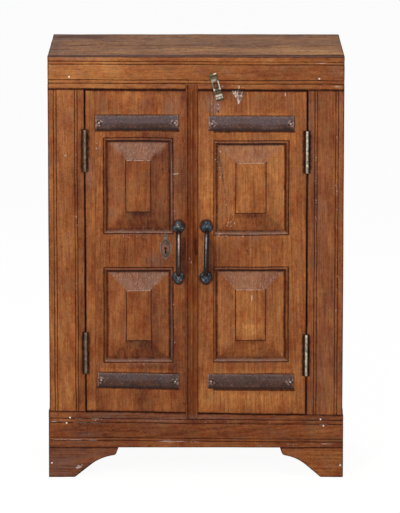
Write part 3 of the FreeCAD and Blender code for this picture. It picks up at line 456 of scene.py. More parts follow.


# Paint that follows the photograph, placed one by one on the front: X, Z, half width, half height, strength

# Spots of tone, and some painted light and shade: the first four are painted shadow on the bevels below the
# raised fields, the spots at x -24, -15, 29 and 43, z 432 to 480, are painted shadow, with some dirt, to
# the right of the two bow handles, and the spots along the astragal's ridge at x -12 and along the top
# rail's upper bead at z 857 are painted highlights
SHADES = (
    (-116, 545, 26, 5, -1.6), (111, 542, 26, 5, -1.1), (-116, 280, 26, 5, -1.1), (111, 281, 26, 5, -1),
    (-200, 835, 130, 40, 0.55), (20, 838, 90, 30, -0.15), (35, 806, 34, 14, -0.8),
    (215, 835, 110, 34, -0.75), (-200, 175, 60, 24, -0.35), (130, 776, 90, 20, -0.45),
    (-235, 470, 7, 330, -0.45), (-12, 330, 5, 120, 0.7), (-190, 128, 34, 5, -0.9),
    (-226, 86, 26, 6, -0.9), (-250, 70, 40, 5, -0.7), (-262, 470, 26, 330, 0.35),
    (-262, 200, 26, 60, 0.3), (-45, 275, 9, 110, -0.9), (-22, 275, 6, 110, -0.35),
    (262, 420, 28, 200, -0.1), (20, 600, 16, 110, 0.7), (20, 230, 14, 90, 0.35), (105, 600, 42, 80, 0.5),
    (165, 610, 16, 90, 0.35), (110, 340, 34, 60, 0.55), (-165, 600, 12, 80, 0.4),
    (-195, 560, 12, 90, 0.3), (-20, 160, 16, 300, -0.2), (-200, 95, 110, 18, -0.5),
    (120, 95, 140, 20, -0.45), (100, 168, 80, 18, 0.6), (165, 162, 30, 22, 0.6),
    (-120, 168, 80, 16, -0.15), (-270, 30, 40, 30, -0.3), (262, 34, 34, 20, 0.35),
    (-24, 480, 7, 26, -1.1), (-24, 432, 7, 26, -1.1), (-15, 456, 4, 50, -0.5), (29, 480, 8, 26, -1.1),
    (29, 432, 8, 26, -1.1), (43, 456, 12, 50, -0.5), (-41, 610, 12, 70, -0.9), (-26, 600, 6, 60, -0.5),
    (-240, 590, 8, 60, -0.7), (-240, 160, 8, 30, -0.8), (215, 590, 14, 80, -0.7), (240, 570, 6, 100, -1),
    (-195, 450, 10, 18, -0.7), (33, 768, 12, 22, -0.3), (230, 190, 9, 30, -0.5), (-70, 450, 26, 14, -1.2),
    (-95, 228, 45, 9, -1), (-90, 706, 40, 8, -0.8), (-110, 788, 40, 10, 0.6), (60, 660, 16, 40, 0.5),
    (173, 560, 8, 30, 0.5), (172, 330, 8, 90, 0.6), (-175, 330, 9, 60, 0.5), (170, 857, 120, 3, 1),
    (-216, 596, 7, 75, -0.8), (-70, 808, 24, 10, -0.8), (60, 796, 14, 18, -0.9), (-8, 452, 8, 14, -0.7),
    (250, 380, 10, 45, 0.5), (-60, 72, 36, 10, 0.9), (-72, 228, 16, 10, -0.7), (150, 684, 16, 10, 0.6),
    (-120, 126, 90, 8, -0.5), (-250, 840, 30, 16, -0.5), (-253, 530, 10, 40, -0.6),
    (-128, 775, 16, 24, 0.5), (-128, 483, 14, 14, 0.6), (172, 440, 12, 14, 0.5), (31, 760, 10, 14, -0.5),
    (-10, 180, 14, 60, -0.3), (240, 185, 18, 30, -0.5),
)
# Spots of mauve haze; the four thin ones at z 240 to 505 are painted sheen along the lower mouldings of the
# carvings
HAZE_AND_SHEEN_SPOTS = (
    (0, 128, 230, 7, 0.6), (-215, 620, 7, 24, 0.9), (-110, 505, 60, 3, 0.7), (110, 503, 70, 3, 0.5),
    (-110, 240, 70, 3, 0.7), (110, 241, 70, 3, 0.5), (-272, 25, 30, 20, 0.5), (42, 764, 7, 12, 1.3),
    (250, 560, 14, 120, 0.1), (33, 768, 12, 22, 0.8), (230, 700, 8, 100, 0.4), (262, 300, 26, 260, 0.2),
    (-60, 120, 60, 8, 0.5), (-45, 650, 10, 90, 0.35), (-190, 128, 34, 5, 0.7), (-226, 86, 26, 6, 0.7),
    (-250, 70, 40, 5, 0.6), (-45, 765, 20, 26, 0.4), (-82, 452, 16, 14, 0.7), (285, 840, 16, 16, 0.4),
    (-240, 861, 60, 4, 0.9),
)
# The first two are the painted shadow of the right bow handle on the astragal; the third is a stain
STAINS_AND_SHADOWS = (
    (-2, 487, 2.6, 16, 1), (1, 470, 2.6, 14, 0.9), (-229, 19, 7, 4, 0.8),
)


PAINT_REACH = 10, 16


def hand_painted(points):
    """Shade, bloom and dirt of points on the front, from the listed spots."""
    # Some spots paint shadows, highlights and sheen as well as tone, haze and dirt
    showing = 1 - smooth(*PAINT_REACH, points[:, 1] - FRONT)
    paint = np.zeros((len(points), len(LAYERS)))
    for layer, spots in ((SHADE, SHADES), (BLOOM_AND_SHEEN, HAZE_AND_SHEEN_SPOTS), (GRIME_AND_SHADOW, STAINS_AND_SHADOWS)):
        for x, z, wide, tall, strength in spots:
            away = ((points[:, 0] - x) / wide) ** 2 + ((points[:, 2] - z) / tall) ** 2
            paint[:, layer] += strength * np.exp(-away) * showing
    return paint


def blank(wide, **layers):
    """Paint layers for a relief, all zero but for the ones given."""
    paint = np.zeros((len(LAYERS),) + wide.shape)
    for name, values in layers.items():
        paint[LAYERS.index(name)] = values
    return paint


# Flecks of pale paint and bare wood on the front: X, Z, half width, half height, degrees

FLECKS = (
    (-40.5, 627.5, 6, 0.7, -6), (86.5, 806, 0.8, 4, 4), (179, 791.5, 0.9, 4, 0),
    (-12.5, 455, 2.4, 1.4, 20), (-9.5, 449, 1, 3, 12), (-262.5, 665, 2.4, 0.8, -30),
    (113, 372, 0.9, 7, 4), (-238, 22, 4.6, 3, 10), (-232, 25, 3, 1.6, -14), (-243, 19.5, 2.6, 1.4, 30),
    (-60, 74.5, 15, 1, 0), (-36, 74.4, 14, 0.8, 0), (-12, 74.2, 13, 0.5, 0), (4, 74, 5, 0.5, 1),
    (-275, 64.5, 3, 1.2, 8), (-290, 114.4, 5.5, 1, 2), (-271, 112.4, 10, 0.5, 5), (-240, 120, 9, 0.35, 0),
    (-206, 120, 7, 0.3, 0), (-236, 112.2, 14, 0.4, 0), (-208, 112.2, 11, 0.35, 0),
    (-186, 112, 7, 0.3, -1), (-276, 76.4, 14, 0.5, 0), (-244, 76.4, 14, 0.6, -1),
    (-212, 76.2, 12, 0.4, 0), (196, 70, 10, 0.4, 1), (232, 72, 8, 0.4, 1), (265, 71, 12, 0.4, 1),
    (262, 112, 16, 0.45, 1), (252, 854.6, 11, 0.45, 0), (277, 848.5, 8, 0.3, -10),
    (262, 811.5, 7, 0.35, 3), (284, 808, 8, 0.4, 2),
)
# Loose groups of flecks: X, Z, spread across and up, how many, size
FLECK_GROUPS = (
    (-202, 685, 4, 12, 9, 1.1), (45, 670, 6, 15, 12, 1), (43, 761, 4, 7, 9, 0.9),
    (50, 630, 3, 26, 14, 0.8), (59, 570, 3, 26, 10, 0.7), (72, 524, 12, 6, 14, 1.1),
    (47, 503, 6, 4, 8, 1.1), (-45, 620, 2, 60, 12, 0.9), (-45, 350, 2, 60, 8, 0.8),
    (-242, 560, 2, 160, 16, 0.8), (-284, 500, 2, 200, 12, 0.7), (242, 600, 2, 120, 22, 0.9),
    (284, 500, 2, 180, 20, 0.9), (-240, 118, 40, 1.6, 10, 0.8), (0, 116, 160, 2, 14, 0.9),
    (-200, 838, 70, 9, 9, 0.6), (100, 808, 120, 3, 12, 0.7), (-120, 498, 60, 2, 14, 0.8),
    (105, 500, 60, 2, 12, 0.8), (-110, 236, 60, 2, 10, 0.7), (112, 470, 20, 12, 8, 0.7),
    (-120, 660, 50, 14, 16, 0.6), (90, 785, 10, 4, 8, 0.9), (140, 60, 90, 8, 6, 0.7),
    (-290, 128, 5, 6, 10, 0.7), (280, 842, 12, 6, 8, 0.5), (268, 810, 20, 2.4, 7, 0.5),
)


FLECK_CORNERS = 10


def fleck(place, wide, tall, degrees, seed):
    """A thin ragged chip that lies on the front."""
    turn = full_turn(FLECK_CORNERS)
    ragged = 1 + 0.25 * np.sin(3 * turn + seed) + 0.2 * np.sin(5 * turn + 2.3 * seed)
    flat = np.zeros((FLECK_CORNERS, 3))
    flat[:, 0], flat[:, 2] = wide * ragged * np.cos(turn), tall * ragged * np.sin(turn)
    flat = turned(flat, (0, 0, 0), degrees)
    middle, rim, foot = (place + flat * grown for grown in (0, 1, 1.1))
    for ring, rise in ((middle, 0.15), (rim, 0.12), (foot, -0.3)):
        ring[:, 1] -= rise
    faces = []
    for index in range(1, FLECK_CORNERS + 1):
        after = index % FLECK_CORNERS + 1
        faces += [[0, index, after], [index, FLECK_CORNERS + index, FLECK_CORNERS + after, after]]
    shape = Shape(np.concatenate([middle[:1], rim, foot]), faces)
    shape.paint[:, BARE] = 0.75 + 0.35 * math.sin(seed * 7.7)
    return shape


def all_flecks():
    """Every fleck, the loose groups spread by a seeded choice."""
    found = list(FLECKS)
    for index, (x, z, wide, tall, count, size) in enumerate(FLECK_GROUPS):
        chance = np.random.default_rng(100 + index)
        for _ in range(count):
            across, along = chance.normal(0, 0.6, 2)
            grown = size * chance.uniform(0.4, 1.0)
            taller, degrees = chance.uniform(0.5, 1.8), chance.uniform(-60, 60)
            found.append((x + across * wide, z + along * tall, grown, grown * taller, degrees))
    return found


def flecked(shape):
    """The shape with the flecks that fall on it, each laid on the nearest point of its face."""
    low, high = shape.points.min(axis=0), shape.points.max(axis=0)
    face = shape.points[shape.points[:, 1] < low[1] + 9]
    for index, (x, z, wide, tall, degrees) in enumerate(all_flecks()):
        lean = math.radians(degrees)
        beside = abs(wide * math.cos(lean)) + abs(tall * math.sin(lean)) + 1.5
        above = abs(wide * math.sin(lean)) + abs(tall * math.cos(lean)) + 1.5
        if low[0] + beside < x < high[0] - beside and low[2] + above < z < high[2] - above:
            nearest = face[((face[:, 0] - x) ** 2 + (face[:, 2] - z) ** 2).argmin()]
            shape = shape + fleck((x, nearest[1], z), wide, tall, degrees, index)
    return shape


# Materials

def linear(colour):
    """A colour written as 0 to 255 in sRGB, as linear light."""
    parts = [value / 255 for value in colour]
    return [part / 12.92 if part <= 0.04045 else ((part + 0.055) / 1.055) ** 2.4 for part in parts] + [1.0]


class Nodes:
    """Short names for the shader nodes of one material."""

    def __init__(self, name, metallic=0.0, specular=0.5):
        self.material = bpy.data.materials.new(name)
        self.material.use_nodes = True
        self.tree = self.material.node_tree
        self.shader = self.tree.nodes["Principled BSDF"].inputs
        self.shader["Metallic"].default_value = metallic
        self.shader["Specular IOR Level"].default_value = specular

    def set(self, socket, value):
        if isinstance(value, bpy.types.NodeSocket):
            self.tree.links.new(value, socket)
        else:
            socket.default_value = value

    def node(self, kind, *values, output=0, **options):
        """A node with its first inputs set or linked. None leaves one as it is."""
        made = self.tree.nodes.new("ShaderNode" + kind)
        for name, value in options.items():
            setattr(made, name, value)
        for socket, value in zip(made.inputs, values):
            if value is not None:
                self.set(socket, value)
        return made.outputs[output]

    def math(self, operation, *values, clamp=False):
        return self.node("Math", *values, operation=operation, use_clamp=clamp)

    def plus(self, first, second, clamp=False):
        return self.math("ADD", first, second, clamp=clamp)

    def times(self, first, second, clamp=False):
        return self.math("MULTIPLY", first, second, clamp=clamp)

    def line(self, value, slope, start):
        """The value times a slope, plus a start."""
        return self.math("MULTIPLY_ADD", value, slope, start)

    def apart(self, first, second):
        """How far two values lie apart."""
        return self.math("ABSOLUTE", self.math("SUBTRACT", first, second))

    def length(self, first, second):
        """Length of the line with these two parts."""
        return self.math("SQRT", self.plus(self.times(first, first), self.times(second, second)))

    def noise(self, vector, size, detail, rough=0.5, output=0):
        """Noise whose bumps are this large along each axis."""
        scaled = self.node("VectorMath", vector, [1 / part for part in size], operation="MULTIPLY")
        return self.node("TexNoise", scaled, None, 1.0, detail, rough, output=output)

    def parts(self, vector):
        """The three parts of a vector."""
        made = self.tree.nodes.new("ShaderNodeSeparateXYZ")
        self.set(made.inputs[0], vector)
        return made.outputs

    def attribute(self, name):
        return self.node("Attribute", attribute_type="GEOMETRY", attribute_name=name, output=2)

    def step(self, value, low, high, reach=1.0):
        """Goes smoothly from 0 to reach as value goes from low to high."""
        return self.node("MapRange", value, low, high, 0.0, reach, interpolation_type="SMOOTHSTEP")

    def mix(self, share, first, second, kind="MIX"):
        """The second colour over the first. Each is a socket, or written as 0 to 255 in sRGB."""
        made = self.tree.nodes.new("ShaderNodeMix")
        made.data_type, made.blend_type = "RGBA", kind
        self.set(made.inputs[0], share)
        for socket, colour in zip(made.inputs[6:8], (first, second)):
            self.set(socket, colour if isinstance(colour, bpy.types.NodeSocket) else linear(colour))
        return made.outputs[2]

    def ramp(self, value, palette):
        made = self.tree.nodes.new("ShaderNodeValToRGB")
        band = made.color_ramp.elements
        while len(band) < len(palette):
            band.new(0.5)
        for element, place, colour in zip(band, PALETTE_PLACES, palette):
            element.position, element.color = place, linear(colour)
        self.set(made.inputs[0], value)
        return made.outputs[0]

    def bump(self, height, depth):
        """Bump from a height that goes from 0 to 1 over this depth in millimetres."""
        made = self.tree.nodes.new("ShaderNodeBump")
        made.inputs["Strength"].default_value = 1.0
        made.inputs["Distance"].default_value = depth * MM
        self.set(made.inputs["Height"], height)
        return made.outputs[0]

    def finish(self, colour, roughness, normal):
        for name, value in (("Base Color", colour), ("Roughness", roughness), ("Normal", normal)):
            self.set(self.shader[name], value)
        return self.material

    def place(self, order=(0, 1, 2), shift=0.0):
        """Object coordinates in millimetres, with the axes in this order."""
        vector = self.node("TexCoord", output=3)
        parts = self.parts(self.node("VectorMath", vector, (1 / MM,) * 3, operation="MULTIPLY"))
        picked = [parts[axis] for axis in order]
        made = self.node("CombineXYZ", *picked)
        if shift:
            made = self.node("VectorMath", made, (shift, shift * 0.7, shift * 1.9), operation="ADD")
        return made, picked


# Teak from its darkest to its palest tone
PALETTE_PLACES = (0.12, 0.32, 0.50, 0.68, 0.88)
WOOD = ((74, 34, 14), (110, 59, 27), (142, 83, 41), (172, 110, 57), (204, 146, 84))
DRY_WOOD = ((92, 62, 38), (122, 86, 56), (148, 110, 74), (172, 134, 94), (196, 162, 122))
TOP_WOOD = ((68, 39, 22), (98, 61, 36), (127, 84, 51), (155, 107, 65), (184, 136, 84))
RING_WANDER, RING_PITCH = 14.0, 4.6


def teak(name, grain, deep, pith, seed, tone=0.0, red=0.15, mauve=0.0, contrast=1.0, palette=WOOD,
         rough=0.46, gloss=0.16, coarse=1.0):
    """Old teak. Growth rings lie round a pith line that runs along the grain behind the face."""
    wood = Nodes(name, specular=gloss)
    over = 3 - grain - deep
    vector, (across, behind, along) = wood.place((over, deep, grain), seed * 37.0)
    bend = wood.noise(vector, (85, 85, 420), 2.0, output=1)
    shift = wood.parts(wood.node("VectorMath", bend, (0.5, 0.5, 0.5), operation="SUBTRACT"))
    run = wood.line(along, 0.05 * math.sin(seed * 2.3), -pith[0])
    side = wood.plus(wood.line(shift[0], RING_WANDER, across), run)
    rise = wood.line(along, 0.07 * math.cos(seed * 1.7), -pith[1])
    back = wood.plus(wood.line(shift[1], RING_WANDER, behind), rise)
    turns = wood.line(wood.length(side, back), 1 / RING_PITCH, seed * 11.3)
    rings = wood.node("TexNoise", None, turns, 1.0, 3.0, noise_dimensions="1D")
    thin, fine = 2.7 * coarse, 1.3 * coarse
    streaks = wood.noise(vector, (thin, thin, 60), 2.0, 0.55)
    fibres = wood.noise(vector, (fine, fine, 12), 2.0, 0.6)
    mottle = wood.noise(vector, (8, 8, 9), 3.0, 0.65)
    specks = wood.noise(vector, (2.2, 2.2, 2.2), 2.0, 0.6)
    pores = wood.noise(vector, (0.8, 0.8, 8), 1.0)
    patches = wood.noise(vector, (48, 48, 95), 3.0, 0.5)
    rust = wood.parts(wood.noise(vector, (26, 26, 40), 3.0, 0.6, output=1))

    value = wood.line(rings, 0.28 * contrast, 0.52 + tone - 0.14 * contrast)
    value = wood.plus(value, wood.line(patches, 0.5, -0.25))
    value = wood.line(wood.attribute("shade"), 0.2, value)
    colour = wood.ramp(value, palette)
    grey = 0.0
    for part, share in ((streaks, 0.65), (fibres, 0.6), (mottle, 0.6), (specks, 0.75)):
        grey = wood.plus(grey, wood.line(part, share * contrast, -0.5 * share * contrast))
    raised = wood.node("VectorMath", (1.0, 0.9, 0.55), None, None, wood.times(grey, 0.1), operation="SCALE")
    gain = wood.line(grey, 1.1, 1.0)
    colour = wood.node("VectorMath", colour, gain, raised, operation="MULTIPLY_ADD")
    colour = wood.node("VectorMath", colour, (0.004, 0.003, 0.002), operation="MAXIMUM")
    reddish = wood.plus(wood.step(rust[0], 0.42, 0.72, 0.6), red, clamp=True)
    colour = wood.mix(reddish, colour, wood.mix(1.0, colour, (222, 176, 146), "MULTIPLY"))
    colour = wood.mix(wood.step(rust[2], 0.5, 0.72, 0.4), colour, (120, 86, 50))
    # The haze read here is in places painted sheen, on the carvings' upper bevels and lower mouldings, and
    # frost puts pale specks where it is strong; the wear also carries painted light on the carvings' left
    # and upper bevels
    bloom, grime, bare = (wood.attribute(layer) for layer in ("bloom", "grime", "bare"))
    haze = wood.plus(wood.step(rust[1], 0.5, 0.78, 0.22), wood.line(bloom, 0.5, mauve), clamp=True)
    haze = wood.times(haze, wood.step(streaks, 0.2, 0.6))
    colour = wood.mix(haze, colour, (126, 98, 88))
    frost = wood.noise(vector, (1.7, 1.7, 6), 2.0, 0.6)
    frost = wood.times(wood.step(frost, 0.53, 0.72, 0.42), wood.step(bloom, 0.15, 1.2))
    colour = wood.mix(frost, colour, (206, 182, 166))
    dots = wood.step(pores, 0.62, 0.74, 0.45)
    colour = wood.mix(dots, colour, (62, 32, 18))
    rubbed = wood.plus(wood.attribute("wear"), wood.line(patches, 1.3, -0.95))
    rubbed = wood.times(wood.step(rubbed, 0.25, 0.75, 0.62), wood.step(streaks, 0.3, 0.6))
    colour = wood.mix(rubbed, colour, (190, 138, 92))
    breaks = wood.noise(vector, (9, 9, 9), 3.0, 0.6)
    dirt = wood.plus(grime, wood.line(breaks, 0.9, -0.45))
    dirt = wood.step(wood.times(dirt, wood.step(grime, 0.0, 0.2)), 0.1, 0.9, 0.93)
    soot = wood.mix(wood.step(breaks, 0.35, 0.65), (84, 31, 10), (36, 13, 5))
    # Near black where the dirt passes 1: in the carvings' outer grooves, along the lower edges of their
    # fields and in the painted shadow under their upper mouldings
    soot = wood.mix(wood.step(grime, 1.02, 1.35), soot, (26, 12, 7))
    colour = wood.mix(dirt, colour, soot)
    chips = wood.noise(vector, (1.7, 1.7, 2.6), 2.0, 0.6)
    shown = wood.step(wood.plus(bare, wood.line(chips, 1.6, -0.8)), 0.35, 0.7, 0.9)
    colour = wood.mix(wood.times(shown, wood.step(bare, 0.0, 0.1)), colour, (210, 193, 187))

    shine = wood.line(dirt, 0.3, wood.line(patches, 0.22, rough - 0.11))
    height = wood.line(fibres, 0.35, wood.times(rings, 0.5))
    height = wood.line(dots, -0.4, height)
    height = wood.line(streaks, 0.6, height)
    return wood.finish(colour, shine, wood.bump(height, 0.28))


def metal(name, dark, light, scale, metallic, rough, spots=None, depth=0.25, worn=None, tint=None,
          scratches=0.0, flank_shade=None, gloss=0.5):
    """Forged or cast metal with a mottled skin, rubbed lighter where it is worn, and lighter still where
    the wear layer holds a painted highlight or glint.

    tint is the colour of the bloom layer, on the straps a painted sheen. flanks holds the X of a
    barrel and how far from it the painted shade of the hinge notch's sides starts and is thickest.
    """
    skin = Nodes(name, metallic=metallic, specular=gloss)
    vector, (across, _, along) = skin.place()
    broad = skin.noise(vector, (scale,) * 3, 4.0, 0.6)
    fine = skin.noise(vector, (scale / 5,) * 3, 3.0, 0.6)
    mixed = skin.line(fine, 0.4, skin.times(broad, 0.6))
    colour = skin.mix(skin.step(mixed, 0.36, 0.64), dark, light)
    if spots:
        rust = skin.noise(vector, (scale / 2.3,) * 3, 4.0, 0.65)
        colour = skin.mix(skin.step(rust, 0.54, 0.7, 0.75), colour, spots)
    if tint:
        share = skin.times(skin.attribute("bloom"), skin.step(fine, 0.25, 0.5), clamp=True)
        colour = skin.mix(share, colour, tint)
    gain = skin.line(skin.attribute("shade"), 0.5, 1.0)
    colour = skin.node("VectorMath", colour, gain, operation="MULTIPLY")
    rubbed = skin.times(skin.attribute("wear"), skin.step(fine, 0.3, 0.55), clamp=True)
    if scratches:
        slant = skin.line(along, 0.5, skin.times(across, 0.86))
        rise = skin.line(along, 0.86, skin.times(across, -0.5))
        lines = skin.noise(skin.node("CombineXYZ", slant, 0.0, rise), (9, 1, 0.9), 2.0, 0.6)
        rubbed = skin.math("MAXIMUM", rubbed, skin.step(lines, 0.56, 0.7, scratches))
    colour = skin.mix(rubbed, colour, worn or [min(255, value * 1.5 + 42) for value in light])
    dirt = skin.step(skin.attribute("grime"), 0.05, 0.9, 0.9)
    if flank_shade:
        axis, near, far = flank_shade
        dirt = skin.math("MAXIMUM", dirt, skin.step(skin.apart(across, axis), near, far, 0.85))
    colour = skin.mix(dirt, colour, [value * 0.35 for value in dark])
    shine = skin.line(rubbed, -0.14, skin.line(broad, 0.3, rough - 0.15))
    return skin.finish(colour, shine, skin.bump(mixed, depth))


# Boards of the case

BOARD_SEEDS = {}


def wood_for(name, low, high, grain, normal, **tones):
    """The teak of one board, with its own pith line behind the board."""
    deep, over = board_axes(grain, normal)
    seed = len(BOARD_SEEDS) + 1
    BOARD_SEEDS[name] = seed
    middle = (low[over] + high[over]) / 2 + 46 * math.sin(seed * 12.9)
    far = (low[deep] + high[deep]) / 2 - normal[deep] * (52 + 34 * math.sin(seed * 5.1))
    return teak("teak_" + name, grain, deep, (middle, far), seed, **tones)


def wooden(name, boxes, grain, normal, tones, body="carcass", slot="waxed_teak", drift=None, **shape):
    """One piece made of one or more boards that share a grain and a facing."""
    boxes = [np.array(box, float) for box in boxes]
    made = joined([board(*box, grain, normal, **shape) for box in boxes])
    material = wood_for(name, *boxes[0], grain, normal, **tones)
    if normal == FORWARD:
        made = flecked(made)
    piece(name, made, material, body, drift=drift)


FORWARD = (0, -1, 0)
TOP_BEADS = ((812.4, 819.6), (851.0, 857.0))
BASE_BEADS = ((75.0, 81.0), (112.3, 120.7))
STILE_BEADS = ((-286.6, -281.0), (-244.3, -238.9))
HINGE_IN = 74.3


def hinge_places(side):
    """X of the hinge line on one side and the low and high end of each hinge."""
    word = "left" if side < 0 else "right"
    points = node_points("hinge_door_leaves_" + word)
    middle = points[:, 2].mean()
    groups = [points[points[:, 2] < middle], points[points[:, 2] > middle]]
    axis = side * (CASE_HALF - HINGE_IN)
    return axis, [(group[:, 2].min(), group[:, 2].max()) for group in groups]


NOTCH_HALF, NOTCH_DEPTH, NOTCH_SPARE = 7.0, 5.0, 1.0
BED_HALF, BED_DEPTH = 2.3, 19.1
WALL = 0.12


def hinge_notches(side):
    """Kept lines and relief of the notches round the hinge knuckles."""
    axis, spans = hinge_places(side)
    across, along = [], []
    for half in (NOTCH_HALF, BED_HALF):
        for sign in (-1, 1):
            across += [axis + sign * half, axis + sign * (half + WALL)]
    for low, high in spans:
        low, high = low - NOTCH_SPARE, high + NOTCH_SPARE
        along += [low - WALL, low, high, high + WALL]

    def relief(wide, tall):
        near = np.abs(wide - axis)
        inside, around = np.zeros((2,) + wide.shape)
        for low, high in spans:
            beyond = np.maximum(low - tall, tall - high)
            away = np.hypot(np.clip(near - NOTCH_HALF, 0, None), np.clip(beyond, 0, None))
            inside = np.maximum(inside, beyond <= NOTCH_SPARE + 0.01)
            around = np.maximum(around, 1 - smooth(0, 2.5, away))
        depth = np.where(near <= NOTCH_HALF + 0.01, NOTCH_DEPTH, 0.0)
        depth = np.where(near <= BED_HALF + 0.01, BED_DEPTH, depth) * inside
        return depth, blank(wide, grime=around * 0.75)

    return (across, along), relief


def front_frame():
    wooden("front_top_rail", [(TOP_LOW, TOP_HIGH)], 0, FORWARD, beads=TOP_BEADS, arris=2.2, wrap=True,
           drift=0.6, edge_grime=(0.9, 0.95, 0.7), edge_reach=(4.5, 2.4, 3.8), rim=(0.3, 0.95, 0.3),
           wear=0.9, tones=dict(tone=0.04, red=0.1))
    wooden("front_bottom_rail", [(BASE_LOW, BASE_HIGH)], 0, FORWARD, beads=BASE_BEADS, arris=1.4, wrap=True,
           drift=0.6, tones=dict(tone=-0.06, red=0.3))
    for side, word in ((-1, "left"), (1, "right")):
        low, high = node_box("front_stile_" + word)
        low[2], high[2] = OPENING_LOW, OPENING_HIGH
        beads = [tuple(sorted(-side * place for place in bead)) for bead in STILE_BEADS]
        kept, relief = hinge_notches(side)
        tones = dict(tone=0.0, red=0.1) if side < 0 else dict(tone=-0.03, red=0.2, mauve=0.05)
        wooden("front_stile_" + word, [(low, high)], 2, FORWARD, beads=beads, kept=kept, relief=relief,
               tones=tones, edge_grime=(0.9, 0.9, 0.9), drift=0.6)


LIP_SHARES = (0.933, 0.752)
LIP_ROUND = 4.5
ARC_POINTS, CORNER_POINTS = 9, 5
ARCH_SHARES = ((0.843, 0.726), (0.6, 0.622), (0.365, 0.419))


def arc_points(first, middle, last):
    """Points on the arc through three points."""
    (x1, y1), (x2, y2), (x3, y3) = first, middle, last
    divisor = 2 * (x1 * (y2 - y3) + x2 * (y3 - y1) + x3 * (y1 - y2))
    squares = [x * x + y * y for x, y in (first, middle, last)]
    cx = (squares[0] * (y2 - y3) + squares[1] * (y3 - y1) + squares[2] * (y1 - y2)) / divisor
    cy = (squares[0] * (x3 - x2) + squares[1] * (x1 - x3) + squares[2] * (x2 - x1)) / divisor
    radius = math.hypot(x1 - cx, y1 - cy)
    start, end = math.atan2(y1 - cy, x1 - cx), math.atan2(y3 - cy, x3 - cx)
    end = start + (end - start + math.pi) % (2 * math.pi) - math.pi
    angles = np.linspace(start, end, ARC_POINTS)
    return [(cx + radius * math.cos(angle), cy + radius * math.sin(angle)) for angle in angles]


def rounded_corner(before, corner, after, reach):
    """Points round a corner, from this far before it to as far after it."""
    before, corner, after = (np.array(point, float) for point in (before, corner, after))
    start = corner + (before - corner) * reach / np.linalg.norm(before - corner)
    end = corner + (after - corner) * min(1.0, reach / np.linalg.norm(after - corner))
    turns = []
    for share in np.linspace(0, 1, CORNER_POINTS):
        turns.append(tuple((1 - share) ** 2 * start + 2 * share * (1 - share) * corner + share**2 * end))
    return turns[:-1] if np.allclose(end, after) else turns


def bracket_outline(corner, direction, length, toe, height):
    """Outline of a bracket foot from its outer corner, with its lip and arch."""
    def at(past_toe, up):
        return toe + (length - toe) * past_toe, height * up

    arch = arc_points(*[at(*shares) for shares in ARCH_SHARES])
    lip = rounded_corner(at(1, 1), at(*LIP_SHARES), arch[0], LIP_ROUND)
    flat = [(0, 0), (0, height), at(1, 1)] + lip + arch + [at(0, 0)]
    return [(corner + direction * run, up) for run, up in flat]


TOE_SHARES = {"left": 0.373, "right": 0.357, "side": 0.4}
SIDE_FOOT_LENGTH = 110.0


def feet():
    for side, word in ((-1, "left"), (1, "right")):
        low, high = node_box("front_foot_" + word)
        length = high[0] - low[0]
        corner = low[0] if side < 0 else high[0]
        outline = bracket_outline(corner, -side, length, length * TOE_SHARES[word], high[2])
        shape = cutout(outline, 1, FRONT, FRAME_BACK)
        up = shape.points[:, 2]
        shape.paint[:, GRIME_AND_SHADOW] = np.maximum(shape.paint[:, GRIME_AND_SHADOW], 0.3 * smooth(9, 0, up))
        shape = flecked(shape)
        tones = dict(tone=-0.1, red=0.3, mauve=0.2) if side < 0 else dict(tone=0.0, red=0.2)
        material = wood_for("front_foot_" + word, low, high, 0, FORWARD, **tones)
        piece("front_foot_" + word, shape, material, "carcass")
        low, high = node_box("side_feet_" + word)
        outer, inner = (low[0], high[0]) if side < 0 else (high[0], low[0])
        pair = []
        for corner, direction in ((low[1], 1), (high[1], -1)):
            toe = SIDE_FOOT_LENGTH * TOE_SHARES["side"]
            outline = bracket_outline(corner, direction, SIDE_FOOT_LENGTH, toe, high[2])
            pair.append(cutout(outline, 0, outer, inner))
        material = wood_for("side_feet_" + word, low, high, 1, (side, 0, 0), tone=-0.06, red=0.25)
        piece("side_feet_" + word, joined(pair), material, "carcass")


Side = namedtuple("Side", "dirt reach lip glow shade bloom edge rub gold")


